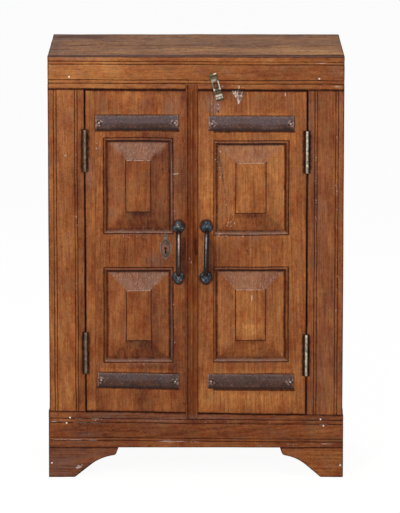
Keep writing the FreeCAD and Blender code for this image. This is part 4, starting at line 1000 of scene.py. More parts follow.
def ring_relief(bounds, profile, sides=None, moved=(0.0, 0.0, 0.0, 0.0)):
    """Kept lines and relief of one sunk ring inside x0, x1, z0, z1, from margin, depth, grime, wear.

    Its left, right, lower and upper side each have the dirt of the moulding, which on the upper
    side is mostly painted shadow, how far that painted shadow runs onto the bevel, the painted
    shade and glow of the moulding and of the bevel by the way the side faces, dirt and painted
    shade along the field, a painted highlight along the field's edge and painted light on the
    bevel. moved is how far the moulding of each side lies outside its bounds, while the field
    stays.
    """
    x0, x1, z0, z1 = bounds
    margins = profile[:, 0]
    moved = np.array(moved)
    growth = (FIELD_FOOT + moved) / FIELD_FOOT
    left, right, lower, upper = [margins * grown - move for grown, move in zip(growth, moved)]
    across = list(x0 + left) + list(x1 - right)
    along = list(z0 + lower) + list(z1 - upper)

    def relief(wide, tall):
        away = np.stack([wide - x0, x1 - wide, tall - z0, z1 - tall])
        away = (away + moved[:, None, None]) / growth[:, None, None]
        margin, nearest = away.min(axis=0), away.argmin(axis=0)
        dirt = np.interp(margin, margins, profile[:, 2])
        worn = np.interp(margin, margins, profile[:, 3])
        paint = blank(wide, grime=dirt, wear=worn)
        lip = within(GROOVE_END - 0.8, GROOVE_END + 0.4, BEVEL_FOOT - 1, BEVEL_FOOT + 0.5, margin)
        bevel = within(BEVEL_FOOT - 1, BEVEL_FOOT + 1, FIELD_FOOT - 1, FIELD_FOOT + 1, margin)
        field = smooth(FIELD_FOOT - 2, FIELD_FOOT - 1, margin)
        # The upper side's cast dirt is painted shadow under its moulding; the lip, bevel, field edge
        # highlight and bevel light of each side are painted light and shade by the way it faces
        for index, side in enumerate(sides or ()):
            here = nearest == index
            foot = BEVEL_FOOT + side.reach
            cast = smooth(foot + 1, foot - 1.5, margin) * (margin > CAST_START)
            near = np.maximum(dirt, cast * (side.reach > 0)) * side.dirt
            near = np.where(margin < GROOVE_END, dirt * 1.1, near)
            near = np.where(field > 0.5, dirt * side.edge, near)
            paint[GRIME_AND_SHADOW] = np.where(here, near, paint[GRIME_AND_SHADOW])
            rubbed = within(FIELD_FOOT - 0.6, FIELD_FOOT + 0.2, *RUBBED_END, margin)
            paint[BARE] += here * side.rub * rubbed
            paint[WEAR_AND_HIGHLIGHT] += here * bevel * side.gold
            paint[SHADE] += here * (lip * side.lip + bevel * side.shade)
            paint[BLOOM_AND_SHEEN] += here * (lip * side.glow + bevel * side.bloom)
        return np.interp(margin, margins, profile[:, 1]), paint

    return (across, along), relief


def both(*parts):
    """Kept lines and relief of several parts together."""
    across = [line for kept, _ in parts for line in kept[0]]
    along = [line for kept, _ in parts for line in kept[1]]

    def relief(wide, tall):
        results = [each(wide, tall) for _, each in parts]
        depths, paints = zip(*results)
        paint, total = np.max(paints, axis=0), np.sum(paints, axis=0)
        added = [SHADE, BLOOM_AND_SHEEN, BARE]
        paint[added] = total[added]
        return np.max(depths, axis=0), paint

    return (across, along), relief


GROOVE_END, CAST_START, BEVEL_FOOT, FIELD_FOOT = 2.7, 6.5, 9.6, 46.1
RUBBED_END = 47, 48

# The carved rings of a door, from outside inwards: margin, depth, grime and wear
CARVING = np.array([
    (-1.2, 0, 0, 0), (0, 0.1, 0.25, 0.2), (0.8, 0.6, 0.8, 0), (1.6, 1.5, 1, 0), (2.3, 1, 0.8, 0),
    (3, 0.5, 0.2, 0.4), (4, 0.4, 0, 0.6), (5.2, 0.9, 0.1, 0.2), (6.2, 2, 0.2, 0), (7, 3.6, 0.5, 0),
    (7.7, 5.4, 0.9, 0), (8.5, 6.9, 1, 0), (9.6, 7, 1, 0), (10.6, 6.6, 0.7, 0), (12, 6.4, 0.25, 0),
    (16, 6, 0.05, 0), (26, 4.9, 0, 0), (36, 3.75, 0, 0), (44.2, 2.8, 0.1, 0), (45, 2.7, 0.85, 0),
    (46, 2.3, 0.95, 0), (46.4, 1.5, 0.8, 0.1), (47, 1.06, 0.15, 0.4), (48.4, 1, 0, 0.2),
])


KEYHOLE = (-61.3, 475.2)


def door_board(name, low, high, body, parts, back_inset, sides, **tones):
    """A board of a door, with its relief, how far its back stands in and the dirt of its sides."""
    kept, relief = both(*parts)
    wooden(name, [(low, high)], 2, FORWARD, body=body, kept=kept, relief=relief, step=6.0, arris=0.9,
           wear=0.3, edge_grime=(*sides, 0.95), edge_reach=(2.5, 2.5, 3.4), back_inset=back_inset,
           tones=tones, drift=0.9)


# How far the carved rings lie inside each door: from its left and right edge, the upper one from
# the top and the lower one from the foot, these two each with the ring's height
CARVED = {
    "left": (35.7, 48.4, 97.1, 197.9, 100.6, 196.5),
    "right": (29.1, 35.7, 102.0, 195.5, 101.6, 196.6),
}


def carved_bounds(word):
    """The two carved rings of a door as x0, x1, z0, z1, the upper one first."""
    left, right, top, upper_tall, foot, lower_tall = CARVED[word]
    low, high = node_box(word + "_door_wide_board")
    x0, x1 = node_box(word + "_door_narrow_board")[0][0] + left, high[0] - right
    upper, lower = high[2] - top, low[2] + foot
    return (x0, x1, upper - upper_tall, upper), (x0, x1, lower, lower + lower_tall)


def scribed(lines, low, high):
    """Thin upright scribed lines between two heights."""
    offsets = (-0.7, -0.3, 0.0, 0.3, 0.7)
    across = [line + offset for line in lines for offset in offsets]

    def relief(wide, tall):
        depth = np.zeros_like(wide)
        for line in lines:
            depth = np.maximum(depth, 0.5 * np.clip(1 - np.abs(wide - line) / 0.7, 0, 1))
        depth = depth * ((tall > low) & (tall < high))
        return depth, blank(wide, grime=depth * 1.5)

    return (across, [low, high]), relief


def chip(x, top, half, drop):
    """A splinter broken out of the door's top edge."""
    across = list(spaced(x - half - 2, x + half + 2, 0.9))
    along = list(spaced(top - drop - 3, top, 1.1))

    def relief(wide, tall):
        below = np.clip((top - tall) / drop, 0, 1)
        reach = half * (1 - below) ** 0.8
        rough = face_noise(wide, tall, (1.8, 14.0), 5)
        mottle = face_noise(wide, tall, (2.4, 3.6), 9)
        inside = smooth(1.2, -1.0, np.abs(wide - x) - reach - rough * 2.2) * (below < 1)
        depth = inside * (2.6 * (1 - below) + 0.8 * rough + 0.4)
        hole = smooth(2.2, 0.8, np.hypot(wide - x + 1.5, (tall - top + 7) / 1.6))
        pale = inside * (0.34 + 0.15 * rough + 0.55 * mottle + 0.2 * below)
        dirt = hole + 0.6 * inside * smooth(-0.25, -0.5, mottle)
        paint = blank(wide, grime=dirt, bare=pale, bloom=inside * 2.0, shade=inside * 0.6)
        return np.clip(depth, 0, None), paint

    return (across, along), relief


PIT_LINES = np.array([-1.6, -1.0, -0.5, 0.0, 0.5, 1.0, 1.6])


def pits(places):
    """Small old holes at these places, each with its radius, depth and dirt."""
    across = [line for x, _, radius, _, _ in places for line in x + radius * PIT_LINES]
    along = [line for _, z, radius, _, _ in places for line in z + radius * PIT_LINES]

    def relief(wide, tall):
        depth, dirt = np.zeros_like(wide), np.zeros_like(wide)
        for x, z, radius, deep, dark in places:
            inside = smooth(radius * 1.3, radius * 0.7, np.hypot(wide - x, tall - z))
            depth = np.maximum(depth, inside * deep)
            dirt = np.maximum(dirt, inside * dark)
        return depth, blank(wide, grime=dirt)

    return (across, along), relief


def keyhole(x, z):
    """The keyhole's eye and slot, sunk into the door behind the escutcheon."""
    across = list(x + np.array([-3.6, -2.6, -1.3, 0.0, 1.3, 2.6, 3.6]))
    along = list(z + np.array([-12.5, -11.0, -2.6, -1.3, 0.0, 1.3, 2.6, 3.6]))

    def relief(wide, tall):
        eye = np.hypot(wide - x, tall - z) < 2.7
        slot = (np.abs(wide - x) < 1.4) & (tall < z) & (tall > z - 11.1)
        inside = (eye | slot).astype(float)
        return 4.0 * inside, blank(wide, grime=0.9 * inside)

    return (across, along), relief


def leaf_shadows(word):
    """Painted shadow and dirt on the door round the leaves of a handle."""
    x, _, middle = handle_centre(word)
    ends = [(middle + end * LEAF_PITCH / 2, end) for end in (-1, 1)]
    across = list(spaced(x - 19, x + 19, 1.6))
    along = [line for z, _ in ends for line in spaced(z - 20, z + 20, 1.6)]

    def relief(wide, tall):
        dirt = np.zeros_like(wide)
        for z, end in ends:
            away = np.hypot(wide - x, (tall - z - 1.0 * end) * 0.95)
            dirt = np.maximum(dirt, 0.95 * smooth(16.0, 12.5, away))
        return np.zeros_like(wide), blank(wide, grime=dirt)

    return (across, along), relief


def strap_shadow_and_dirt(place):
    """Dirt on the door round a strap, with painted shadow below it, the darkest part, and a painted lighter
    band a little above it.
    """
    left, right = STRAP_ENDS[place]
    middle = strap_centre(place)
    half = STRAP_TALL / 2
    tilt = math.radians(STRAP_TILTS[place])
    across = [left - 4, left - 2, left, left + 1, right - 1, right, right + 2, right + 4]
    fall = abs(math.sin(tilt)) * (right - left) / 2
    along = []
    for sign in (-1, 1):
        edge = middle[2] + sign * half
        along += list(spaced(edge - fall - 6, edge + fall + 3, 1.3))

    def relief(wide, tall):
        dx, dz = wide - middle[0], tall - middle[2]
        run = dx * math.cos(tilt) - dz * math.sin(tilt)
        rise = dz * math.cos(tilt) + dx * math.sin(tilt)
        beyond = np.abs(run) - (right - left) / 2
        beside = np.clip(beyond, 0, None)
        above = np.hypot(beside, np.clip(rise - half, 0, None))
        below = np.hypot(beside, np.clip(-half - rise, 0, None))
        # Painted shadow below the strap and a painted lighter band a little above it
        dirt = np.where(rise > -half, 0.75 * smooth(2.4, 0.4, above), smooth(4.6, 2.0, below))
        glow = within(2.5, 3.5, 5, 7, rise - half) * (beyond < -4)
        return np.zeros_like(wide), blank(wide, grime=dirt, shade=0.7 * glow)

    return (across, along), relief


def crack(places, width, depth_in):
    """A crack that wanders down through these places."""
    places = sorted(places, key=lambda place: place[1])
    xs, zs = [place[0] for place in places], [place[1] for place in places]
    across = list(spaced(min(xs) - 3, max(xs) + 3, 1.5))

    def relief(wide, tall):
        centre = np.interp(tall, zs, xs) + 1.2 * face_noise(tall, tall * 0, (9.0, 1.0), 8)
        near = np.clip(1 - np.abs(wide - centre) / width, 0, 1)
        near = near * smooth(zs[0], zs[0] + 8, tall) * smooth(zs[-1], zs[-1] - 8, tall)
        return near * depth_in, blank(wide, grime=near * 0.8, bloom=near * 0.6, shade=-0.8 * near)

    return (across, list(spaced(zs[0], zs[-1], 6))), relief


def carving_sides(left, right, lower, upper, glow=0.5):
    """The painted light and shade of a carving's sides, with their dirt, from shade and sheen of each bevel
    and the glow of the right moulding.
    """
    # The upper side's heavy dirt and its reach paint the shadow under the top moulding, the lower
    # moulding's glow is painted sheen, and the light on the left and upper bevels is painted
    return (
        Side(0.62, 0.0, -1.0, 0.0, *left, 1.0, 0.0, 0.4),
        Side(0.72, 1.5, -1.0, glow, *right, 1.1, 0.0, 0.0),
        Side(0.55, 0.0, 0.1, 1.3, *lower, 1.2, 0.0, 0.0),
        Side(1.3, 1.0, -0.2, 0.4, *upper, 0.3, 0.5, 0.2),
    )


# Painted shade and sheen of each bevel, by the way it faces: left, right, lower and upper
LEFT_UPPER_SIDES = carving_sides((-0.2, 0.1), (-0.8, 0.1), (-0.8, -0.4), (0.2, 1.2))
LEFT_LOWER_SIDES = carving_sides((-0.05, 0.05), (-0.2, 0.15), (-0.8, -0.4), (0.25, 1.25))
RIGHT_UPPER_SIDES = carving_sides((0.1, 0.1), (0.45, 0.1), (-0.5, -0.4), (0.35, 0.7), -0.3)
RIGHT_LOWER_SIDES = carving_sides((0.1, 0.1), (0.2, 0.1), (-0.55, -0.4), (0.15, 0.9), -0.3)


# The looks of each door's upper and lower carving, and how far its mouldings lie further out
DOOR_RINGS = {
    "left": ((LEFT_UPPER_SIDES, (0.8, 0.0, 0.0, 1.0)), (LEFT_LOWER_SIDES, (0.8, 0.0, 0.0, 2.2))),
    "right": ((RIGHT_UPPER_SIDES, (1.1, 1.8, 0.0, 0.0)), (RIGHT_LOWER_SIDES, (1.1, 1.8, 0.0, 2.0))),
}
OLD_PITS = ((43, 765.5, 1.6, 1.0, 0.6), (45, 754.5, 1.9, 1.0, 0.6), (41, 757, 1.1, 0.6, 0.4))
CRACKED = ((45, 677), (53, 626), (59, 586), (63, 525))
RIGHT_OVERLAP = 1.2


def narrow_board(word, overlap, *rest, **tones):
    """The narrow board of a door, up to the joint with the wide one."""
    low, high = node_box(word + "_door_narrow_board")
    low[0], high[0] = low[0] - overlap, node_box(word + "_door_wide_board")[0][0]
    door_board(word + "_door_narrow_board", low, high, word + "_door", *rest, **tones)


def wide_board(word, side, lines, others, *rest, **tones):
    """The wide board of a door, with carvings, scribed lines, and dirt and painted shadow round its iron.
    """
    upper, lower = bounds = carved_bounds(word)
    parts = [ring_relief(ring, CARVING, *looks) for ring, looks in zip(bounds, DOOR_RINGS[word])]
    parts += [hinge_notches(side), scribed(lines, lower[3] + 4, upper[2] - 4)]
    parts += [strap_shadow_and_dirt(word + "_upper"), strap_shadow_and_dirt(word + "_lower"), leaf_shadows(word)] + others
    name = word + "_door_wide_board"
    door_board(name, *node_box(name), word + "_door", parts, *rest, **tones)


def doors():
    narrow_board("left", 0.0, [hinge_notches(-1)], (0.0, 0.0), (0.6, 0.2), tone=0.02, red=0.2)
    wide_board("left", -1, (-175, -139, -90), [keyhole(*KEYHOLE)], (0.0, 1.5), (0.2, 0.0), tone=-0.02,
               red=0.25)
    narrow_board("right", RIGHT_OVERLAP, [leaf_shadows("right")], (2.7, 0.0), (0.0, 0.2), tone=0.04,
                 red=0.1)
    top_edge = node_box("right_door_wide_board")[1][2]
    marks = [pits(OLD_PITS), chip(85.5, top_edge, 12.5, 27.0), crack(CRACKED, 1.6, 0.9)]
    wide_board("right", 1, (138, 174), marks, (0.0, 0.0), (0.2, 0.6), tone=0.03, red=0.15)


ASTRAGAL_RISES = (
    # share of the way to the middle, share of the height, grime, wear
    (0, 0, 0.9, 0), (0, 0.26, 0.3, 0.3), (0.05, 0.34, 0.2, 0.5), (0.22, 0.36, 0.5, 0.1),
    (0.32, 0.31, 1, 0), (0.42, 0.32, 0.6, 0), (0.56, 0.42, 0.2, 0), (0.68, 0.56, 0, 0),
    (0.78, 0.72, 0, 0.1), (0.86, 0.9, 0, 0.3), (0.93, 0.985, 0, 0.6), (1, 1, 0, 0.7),
)


ASTRAGAL_BEVEL = 13.0


def astragal():
    """The ridged strip down the left door's meeting edge, with sloped ends."""
    low, high = node_box("astragal")
    half, rise = (high[0] - low[0]) / 2, high[1] - low[1]
    middle = (low[0] + high[0]) / 2
    shoulder = rise * 0.3
    profile = [(share - 1, up, dirt, worn) for share, up, dirt, worn in ASTRAGAL_RISES]
    profile += [(1 - share, up, dirt, worn) for share, up, dirt, worn in ASTRAGAL_RISES[-2::-1]]
    across = np.array([row[0] for row in profile]) * half
    out = np.array([row[1] for row in profile]) * rise
    steps = np.arange(1, ASTRAGAL_BEVEL + 1)
    stations = grid_lines(low[2], high[2], 7.0, list(low[2] + steps) + list(high[2] - steps))
    count, points, dirt, worn = len(profile), [], [], []
    for z in stations:
        end = min(z - low[2], high[2] - z)
        limit = shoulder + (rise - shoulder) * end / ASTRAGAL_BEVEL
        cut = smooth(-0.6, 0.6, out - limit)
        reach = np.minimum(out, limit)
        points += np.stack([middle + across, FRONT - reach, np.full(count, z)], axis=1).tolist()
        # The grooves on the left flank keep their full dirt and the rest about a third: painted shade on
        # the left flank
        dirt += [row[2] * (1.0 if row[0] < -0.3 else 0.35) for row in profile]
        worn += list(np.maximum([row[3] * 0.6 for row in profile], cut * 0.6 * (end > 1)))
    shape = tube(points, count)
    shape.paint[:, GRIME_AND_SHADOW], shape.paint[:, WEAR_AND_HIGHLIGHT] = dirt, worn
    material = wood_for("astragal", low, high, 2, FORWARD, tone=-0.04, red=0.45)
    piece("astragal", flecked(shape), material, "left_door", amount=0.8)


# Sides, top and back

PANEL = np.array([
    (-4, 7.1, 0.8, 0), (0, 7.1, 1, 0), (1.5, 7, 0.7, 0), (4, 6.75, 0.2, 0), (14, 5.8, 0, 0),
    (26, 4.6, 0, 0), (36.8, 3.5, 0.2, 0), (37.6, 3.3, 0.7, 0), (38, 2.5, 0.6, 0), (38.6, 1.9, 0.1, 0.5),
    (40.5, 1.8, 0, 0.2),
])
PANEL_LAP = 4.0


def sides():
    for side, word in ((-1, "left"), (1, "right")):
        normal = (side, 0, 0)
        for place, beads in (("top", TOP_BEADS[:1]), ("bottom", BASE_BEADS)):
            name = f"side_{place}_rail_{word}"
            wooden(name, [node_box(name)], 1, normal, beads=beads, wrap=True,
                   tones=dict(tone=-0.04 if place == "bottom" else 0.02, red=0.2))
        opening = []
        for place in ("front", "rear"):
            name = f"side_{place}_stile_{word}"
            low, high = node_box(name)
            low[2], high[2] = OPENING_LOW, OPENING_HIGH
            opening += [low[1], high[1]]
            wooden(name, [(low, high)], 2, normal, tones=dict(tone=0.0, red=0.15))
        name = "side_panel_" + word
        low, high = node_box(name)
        near, far = opening[1] - PANEL_LAP, opening[2] + PANEL_LAP
        low[1:], high[1:] = (near, OPENING_LOW - PANEL_LAP), (far, OPENING_HIGH + PANEL_LAP)
        (low if side < 0 else high)[0] = side * CASE_HALF
        kept, relief = ring_relief((near + PANEL_LAP, far - PANEL_LAP, OPENING_LOW, OPENING_HIGH), PANEL)
        wooden(name, [(low, high)], 2, normal, kept=kept, relief=relief, arris=0.4, edge_grime=(0.0,) * 3,
               wear=0.0, tones=dict(tone=0.02, red=0.15))


# Smudges on the top, dark if positive: X, Y, half width, half depth, strength
SMUDGES = (
    (-236, 150, 58, 26, 2.2), (235, -110, 90, 55, -1.6), (-190, 120, 60, 16, 0.8),
    (-285, 20, 10, 170, 0.8), (150, 160, 130, 18, 0.5), (60, -60, 190, 26, -1), (-60, -90, 120, 12, -0.6),
    (215, -20, 60, 60, -0.4),
)


def top():
    def relief(wide, tall):
        dark = np.zeros_like(wide)
        for x, y, reach, deep, strength in SMUDGES:
            dark += strength * np.exp(-((tall - x) / reach) ** 2 - ((wide - y) / deep) ** 2)
        rear = 0.8 * smooth(BACK - 17, BACK - 12, wide)
        dirt = np.maximum(rear, 0.4 * np.clip(dark - 0.6, 0, 1))
        return np.zeros_like(wide), blank(wide, shade=-dark, bloom=np.clip(dark, 0, 1) * 0.2, grime=dirt)

    tones = dict(tone=0.0, red=0.0, contrast=1.9, coarse=5.0, rough=0.66, gloss=0.08, palette=TOP_WOOD)
    for name in ("top_board_front", "top_board_rear"):
        wooden(name, [node_box(name)], 0, (0, 0, 1), arris=1.6, edge_grime=(0.8,) * 3, rim=(0.8,) * 3,
               relief=relief, tones=tones)


BACK_PLANKS, BACK_GAP = 4, 0.6


def back():
    low, high = node_box("back_boards")
    edges = np.linspace(low[0], high[0], BACK_PLANKS + 1)
    boxes = []
    for left, right in zip(edges[:-1], edges[1:]):
        boxes.append(((left + BACK_GAP / 2, low[1], low[2]), (right - BACK_GAP / 2, high[1], high[2])))
    wooden("back_boards", boxes, 2, (0, 1, 0), slot="plain_teak", arris=1.5,
           tones=dict(palette=DRY_WOOD, red=0.05, rough=0.7, tone=-0.1))


def inside():
    """Boards of the inside keep their CAD shapes, with eased arrises and a dry finish."""
    grains = {"floor_board": 0, "shelf_board": 0, "back_top_rail": 0, "back_bottom_rail": 0,
              "foot_blocks": 2, "floor_cleats": 1, "shelf_cleats": 1}
    for name, grain in grains.items():
        low, high = node_box(name)
        normal = (0, 0, 1) if grain < 2 else (0, 1, 0)
        tones = dict(palette=DRY_WOOD, red=0.05, rough=0.65, tone=-0.06)
        eased(name, wood_for(name, low, high, grain, normal, **tones), 0.8)


def eased(name, material, width):
    """Gives a CAD node its finish, and eases its arrises by this many millimetres."""
    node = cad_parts[name]
    node.data.materials.clear()
    node.data.materials.append(material)
    weld = node.modifiers.new("weld", "WELD")
    weld.merge_threshold = 0.00001
    bevel = node.modifiers.new("arris", "BEVEL")
    bevel.width = width * MM
    bevel.segments = 2
    bevel.limit_method = "ANGLE"
    bevel.angle_limit = math.radians(35)


# Iron and brass

STRAP_NAIL_INSET = 7.0
STRAP_TILTS = {"left_upper": 0.0, "left_lower": 1.3, "right_upper": 0.0, "right_lower": 0.3}
STRAP_ENDS = {"left_upper": (-202.2, -35.3), "left_lower": (-199.6, -35.0), "right_upper": (25.3, 197.4),
              "right_lower": (23.4, 198.6)}
STRAP_TALL, STRAP_CROWN, STRAP_EDGE = 30.2, 4.5, 1.6
# How strong the bluish painted sheen on the upper part of each strap is, and each strap's shade
STRAP_SHEEN = {"left_upper": 0.75, "left_lower": 0.5, "right_upper": 0.8, "right_lower": 0.3}
STRAP_SHADES = {"left_upper": -0.14, "left_lower": 0.12, "right_upper": 0.0, "right_lower": 0.06}


def strap_centre(place):
    door, level = place.split("_")
    low, high = node_box(f"{door}_strap_{level}")
    left, right = STRAP_ENDS[place]
    return np.array([(left + right) / 2, FRONT, (low[2] + high[2]) / 2])


def strap_nails(place):
    """X of the two nails of a strap."""
    left, right = STRAP_ENDS[place]
    return left + STRAP_NAIL_INSET, right - STRAP_NAIL_INSET


def strap(place, material):
    """A forged strap, rounded in front, with a hammered skin and uneven edges."""
    left, right = STRAP_ENDS[place]
    centre = strap_centre(place)
    low = np.array([left, FRONT - STRAP_CROWN, centre[2] - STRAP_TALL / 2])
    high = np.array([right, FRONT, centre[2] + STRAP_TALL / 2])
    seed = len(place) + int(abs(left))

    def relief(wide, tall):
        share = (wide - centre[2]) / (STRAP_TALL / 2)
        hammered = 0.34 * face_noise(wide, tall, (8.0, 10.0), seed)
        hammered = hammered + 0.14 * face_noise(wide, tall, (3.2, 4.0), seed + 1)
        patch = face_noise(wide, tall, (16.0, 30.0), seed + 2)
        rough = face_noise(wide, tall, (2.4, 2.4), seed + 3)
        depth = (STRAP_CROWN - STRAP_EDGE) * share**2 + 0.5 + hammered
        worn = 0.75 * smooth(3.2, 0.8, tall - left) + 0.3 * smooth(3.0, 0.6, right - tall)
        worn = worn + 0.45 * smooth(0.75, 0.95, share) * smooth(-0.3, 0.3, rough)
        # Painted light and shade of the rounded front: a bluish painted sheen on the upper part, painted
        # shade darkest along the lower edge, and shade lighter towards the top in three soft horizontal
        # bands; the rings round the nails are wear and dirt
        upper_sheen = smooth(-0.7, 0.5, share + 0.5 * patch) * smooth(1.0, 0.8, share) * STRAP_SHEEN[place]
        dark = 0.3 * smooth(-0.35, -0.75, share + 0.2 * patch) + 0.6 * smooth(-0.78, -0.94, share)
        for x in strap_nails(place):
            ring = np.hypot((tall - x) / 1.25, wide - centre[2])
            worn = worn + 0.9 * within(3.0, 3.8, 6.0, 8.0, ring) * smooth(-0.05, 0.4, rough)
            dark = np.maximum(dark, 0.8 * smooth(7.5, 4.0, ring) * smooth(0.1, -0.3, rough))
        bands = 0.22 * np.cos(2 * math.pi * (share - 0.15 + 0.12 * patch) / 0.7)
        shade = 0.2 * smooth(-0.4, 0.6, share) + 0.3 * patch - 0.1 + bands + STRAP_SHADES[place]
        paint = blank(wide, grime=np.clip(dark, 0, 1), wear=np.clip(worn, 0, 1), bloom=upper_sheen, shade=shade)
        return np.clip(depth, 0, STRAP_CROWN - 1.1), paint

    round_nail = np.arange(-9, 10)
    nails = [line for x in strap_nails(place) for line in x + round_nail]
    kept = (list(centre[2] + round_nail), nails)
    # The strong dirt of the low edge is painted shade along the strap's lower edge
    shape = board(low, high, 0, FORWARD, arris=0.6, step=2.6, kept=kept, relief=relief,
                  edge_grime=(1.0, 0.5, 0.3), edge_reach=(2.6, 1.0, 1.0), wear=0.2)
    shape = shape.turned(centre, STRAP_TILTS[place])
    door, level = place.split("_")
    piece(f"{door}_strap_{level}", shape, material, door + "_door", amount=1.3)


def domes(name, body, places, radius, rise, material, groove=None, glint_from=0.8):
    """Domed heads on the front, each with a screw slot if groove gives the first one's degrees."""
    heads = []
    for index, place in enumerate(places):
        turn = math.radians((groove or 0) + 67 * index)

        def height(dx, dz, share):
            rounded = rise * np.sqrt(np.clip(1 - share**2, 0, 1)) * (1 - 0.15 * np.sin(3 * dx + index))
            if groove is None:
                return rounded
            across = np.abs(dx * math.cos(turn) + dz * math.sin(turn))
            return rounded - 0.8 * rise * smooth(0.75, 0.35, across) * (share < 0.93)

        def outline(angle):
            return radius * (1 + 0.05 * np.sin(2 * angle + index) + 0.03 * np.sin(5 * angle + 2 * index))

        head = medallion(place, outline, height, 8, 32)
        # Painted glint: each head is lighter from this share of its rise up to its top
        head.paint[:, WEAR_AND_HIGHLIGHT] = smooth(glint_from, 1.0, (place[1] - head.points[:, 1]) / rise)
        heads.append(head)
    piece(name, joined(heads), material, body, amount=0.0)


def straps():
    # The iron's tint is the colour of the straps' painted sheen; the nail heads' worn colour is their
    # painted glint
    iron = metal("strap_iron", (48, 28, 21), (84, 53, 40), scale=14.0, metallic=0.05, rough=0.56, depth=0.4,
                 spots=(80, 42, 31), worn=(164, 130, 116), tint=(80, 67, 71), scratches=0.55, gloss=0.22)
    head = metal("strap_nail_iron", (60, 46, 40), (112, 88, 78), scale=2.5, metallic=0.3, rough=0.45,
                 worn=(226, 204, 190))
    for door in ("left", "right"):
        places = []
        for level in ("upper", "lower"):
            place = f"{door}_{level}"
            strap(place, iron)
            centre = strap_centre(place)
            for x in strap_nails(place):
                places.append(turned((x, FRONT - STRAP_CROWN + 0.9, centre[2]), centre, STRAP_TILTS[place]))
        domes(f"{door}_strap_nails", door + "_door", places, 3.3, 1.9, head)


HANDLE_REACH, BOW_RADIUS, BOW_BEND = 33.0, 5.0, 17.0
LEAF_PITCH, LEAF_RISE, LEG_INSET = 104.0, 2.4, 9.0
# Where each bow's painted highlight runs across it and how wide it is
BOW_SHINE = {"left": 0.9, "right": -1.0}
BOW_STRIPE = {"left": 1.2, "right": 0.9}
BOW_SIDES = 32
RIGHT_HANDLE_TILT = 1.2


def handle_centre(word):
    """The middle of a handle, on the front."""
    screw_low, screw_high = node_box(word + "_handle_screws")
    low, high = node_box(word + "_handle")
    return np.array([(screw_low[0] + screw_high[0]) / 2, FRONT, (low[2] + high[2]) / 2])


def handle(word, tilt, material, screw_material):
    """A forged bow handle with trefoil leaves, and the two screws that hold it."""
    centre = handle_centre(word)
    x = centre[0]
    half = LEAF_PITCH / 2 - LEG_INSET
    line = HANDLE_REACH - BOW_RADIUS
    path = [(out, -half) for out in np.linspace(0, line - BOW_BEND, 4)[:-1]]
    for angle in np.linspace(0, math.pi / 2, 9):
        out, rise = BOW_BEND * math.sin(angle), BOW_BEND * (1 - math.cos(angle))
        path.append((line - BOW_BEND + out, -half + rise))
    path += [(line, z) for z in np.linspace(-half + BOW_BEND, half - BOW_BEND, 12)[1:-1]]
    path += [(out, -z) for out, z in path[11::-1]]
    path = np.array([(x, FRONT - out, centre[2] + z) for out, z in path])
    length = np.linspace(-1, 1, len(path))
    radii = BOW_RADIUS * (0.9 + 0.1 * np.cos(length * math.pi / 2))
    shape = sweep(path, radii, BOW_SIDES)
    # Painted highlight: a pale stripe down the front of the bow, strongest on its upper part, and painted
    # shade along the bow's sides
    away = np.abs(shape.points[:, 0] - x - BOW_SHINE[word])
    front = smooth(1.0, 3.0, FRONT - HANDLE_REACH + BOW_RADIUS * 2 - shape.points[:, 1])
    up = shape.points[:, 2] - centre[2]
    lit = within(-4, 22, 36, 43, up) + 0.25 * within(-30, -14, -2, 14, up)
    shape.paint[:, WEAR_AND_HIGHLIGHT] = np.clip(1.3 - away / BOW_STRIPE[word], 0, 1) * front * lit
    shape.paint[:, GRIME_AND_SHADOW] = 0.7 * smooth(1.8, 3.8, away)

    for end in (-1, 1):
        if end > 0:
            lobes = [(0, 6.2, 7.0), (-5.2, -2.8, 7.0), (5.2, -2.8, 7.0), (0, -7.6, 6.6), (0, 0.5, 8.6)]
        else:
            lobes = [(0, -5.4, 7.8), (-4.8, 3.0, 7.4), (4.8, 3.0, 7.4), (0, 7.6, 6.6), (0, -0.5, 10.4)]

        def outline(angle):
            reach = np.full(len(angle), 3.0)
            for dx, dz, radius in lobes:
                along = dx * np.cos(angle) + dz * np.sin(angle)
                left = radius**2 - (dx * dx + dz * dz - along**2)
                reach = np.maximum(reach, along + np.sqrt(np.clip(left, 0, None)) * (left > 0))
            return reach

        def height(dx, dz, share):
            total = np.full(len(dx), 0.9)
            for lx, lz, radius in lobes:
                away = ((dx - lx) ** 2 + (dz - lz) ** 2) / (radius * 0.8) ** 2
                total = np.maximum(total, 0.9 + 2.0 * np.exp(-away))
            beaten = 0.25 * np.sin(1.7 * dx + 0.8 * dz) * np.cos(1.4 * dz - 0.6 * dx)
            return (total + beaten) * (1 - 0.55 * smooth(0.8, 1.0, share))

        leaf = medallion(np.array([x, FRONT, centre[2] + end * LEAF_PITCH / 2]), outline, height, 12, 72)
        rise = FRONT - leaf.points[:, 1]
        speck = noise(leaf.points, (2.4, 40.0, 2.4), 71 + end)
        leaf.paint[:, BLOOM_AND_SHEEN] = 1.0
        leaf.paint[:, SHADE] = 0.8 * noise(leaf.points, (4.0, 40.0, 4.0), 75) - 0.25
        leaf.paint[:, WEAR_AND_HIGHLIGHT] = 0.4 * smooth(0.3, 0.75, speck) * smooth(0.8, 1.6, rise)
        leaf.paint[:, GRIME_AND_SHADOW] = smooth(1.9, 1.0, rise) + 0.7 * smooth(-0.3, -0.6, speck)
        shape = shape + leaf
    shape = shape.turned(centre, tilt)
    piece(word + "_handle", shape, material, word + "_door", amount=0.5)
    leaves = [(x, FRONT - LEAF_RISE, centre[2] + end * LEAF_PITCH / 2) for end in (-1, 1)]
    places = [turned(leaf, centre, tilt) for leaf in leaves]
    domes(word + "_handle_screws", word + "_door", places, 3.2, 1.6, screw_material, groove=25,
          glint_from=0.86)


BARREL_SIDES, BARREL_EASE = 20, 0.5


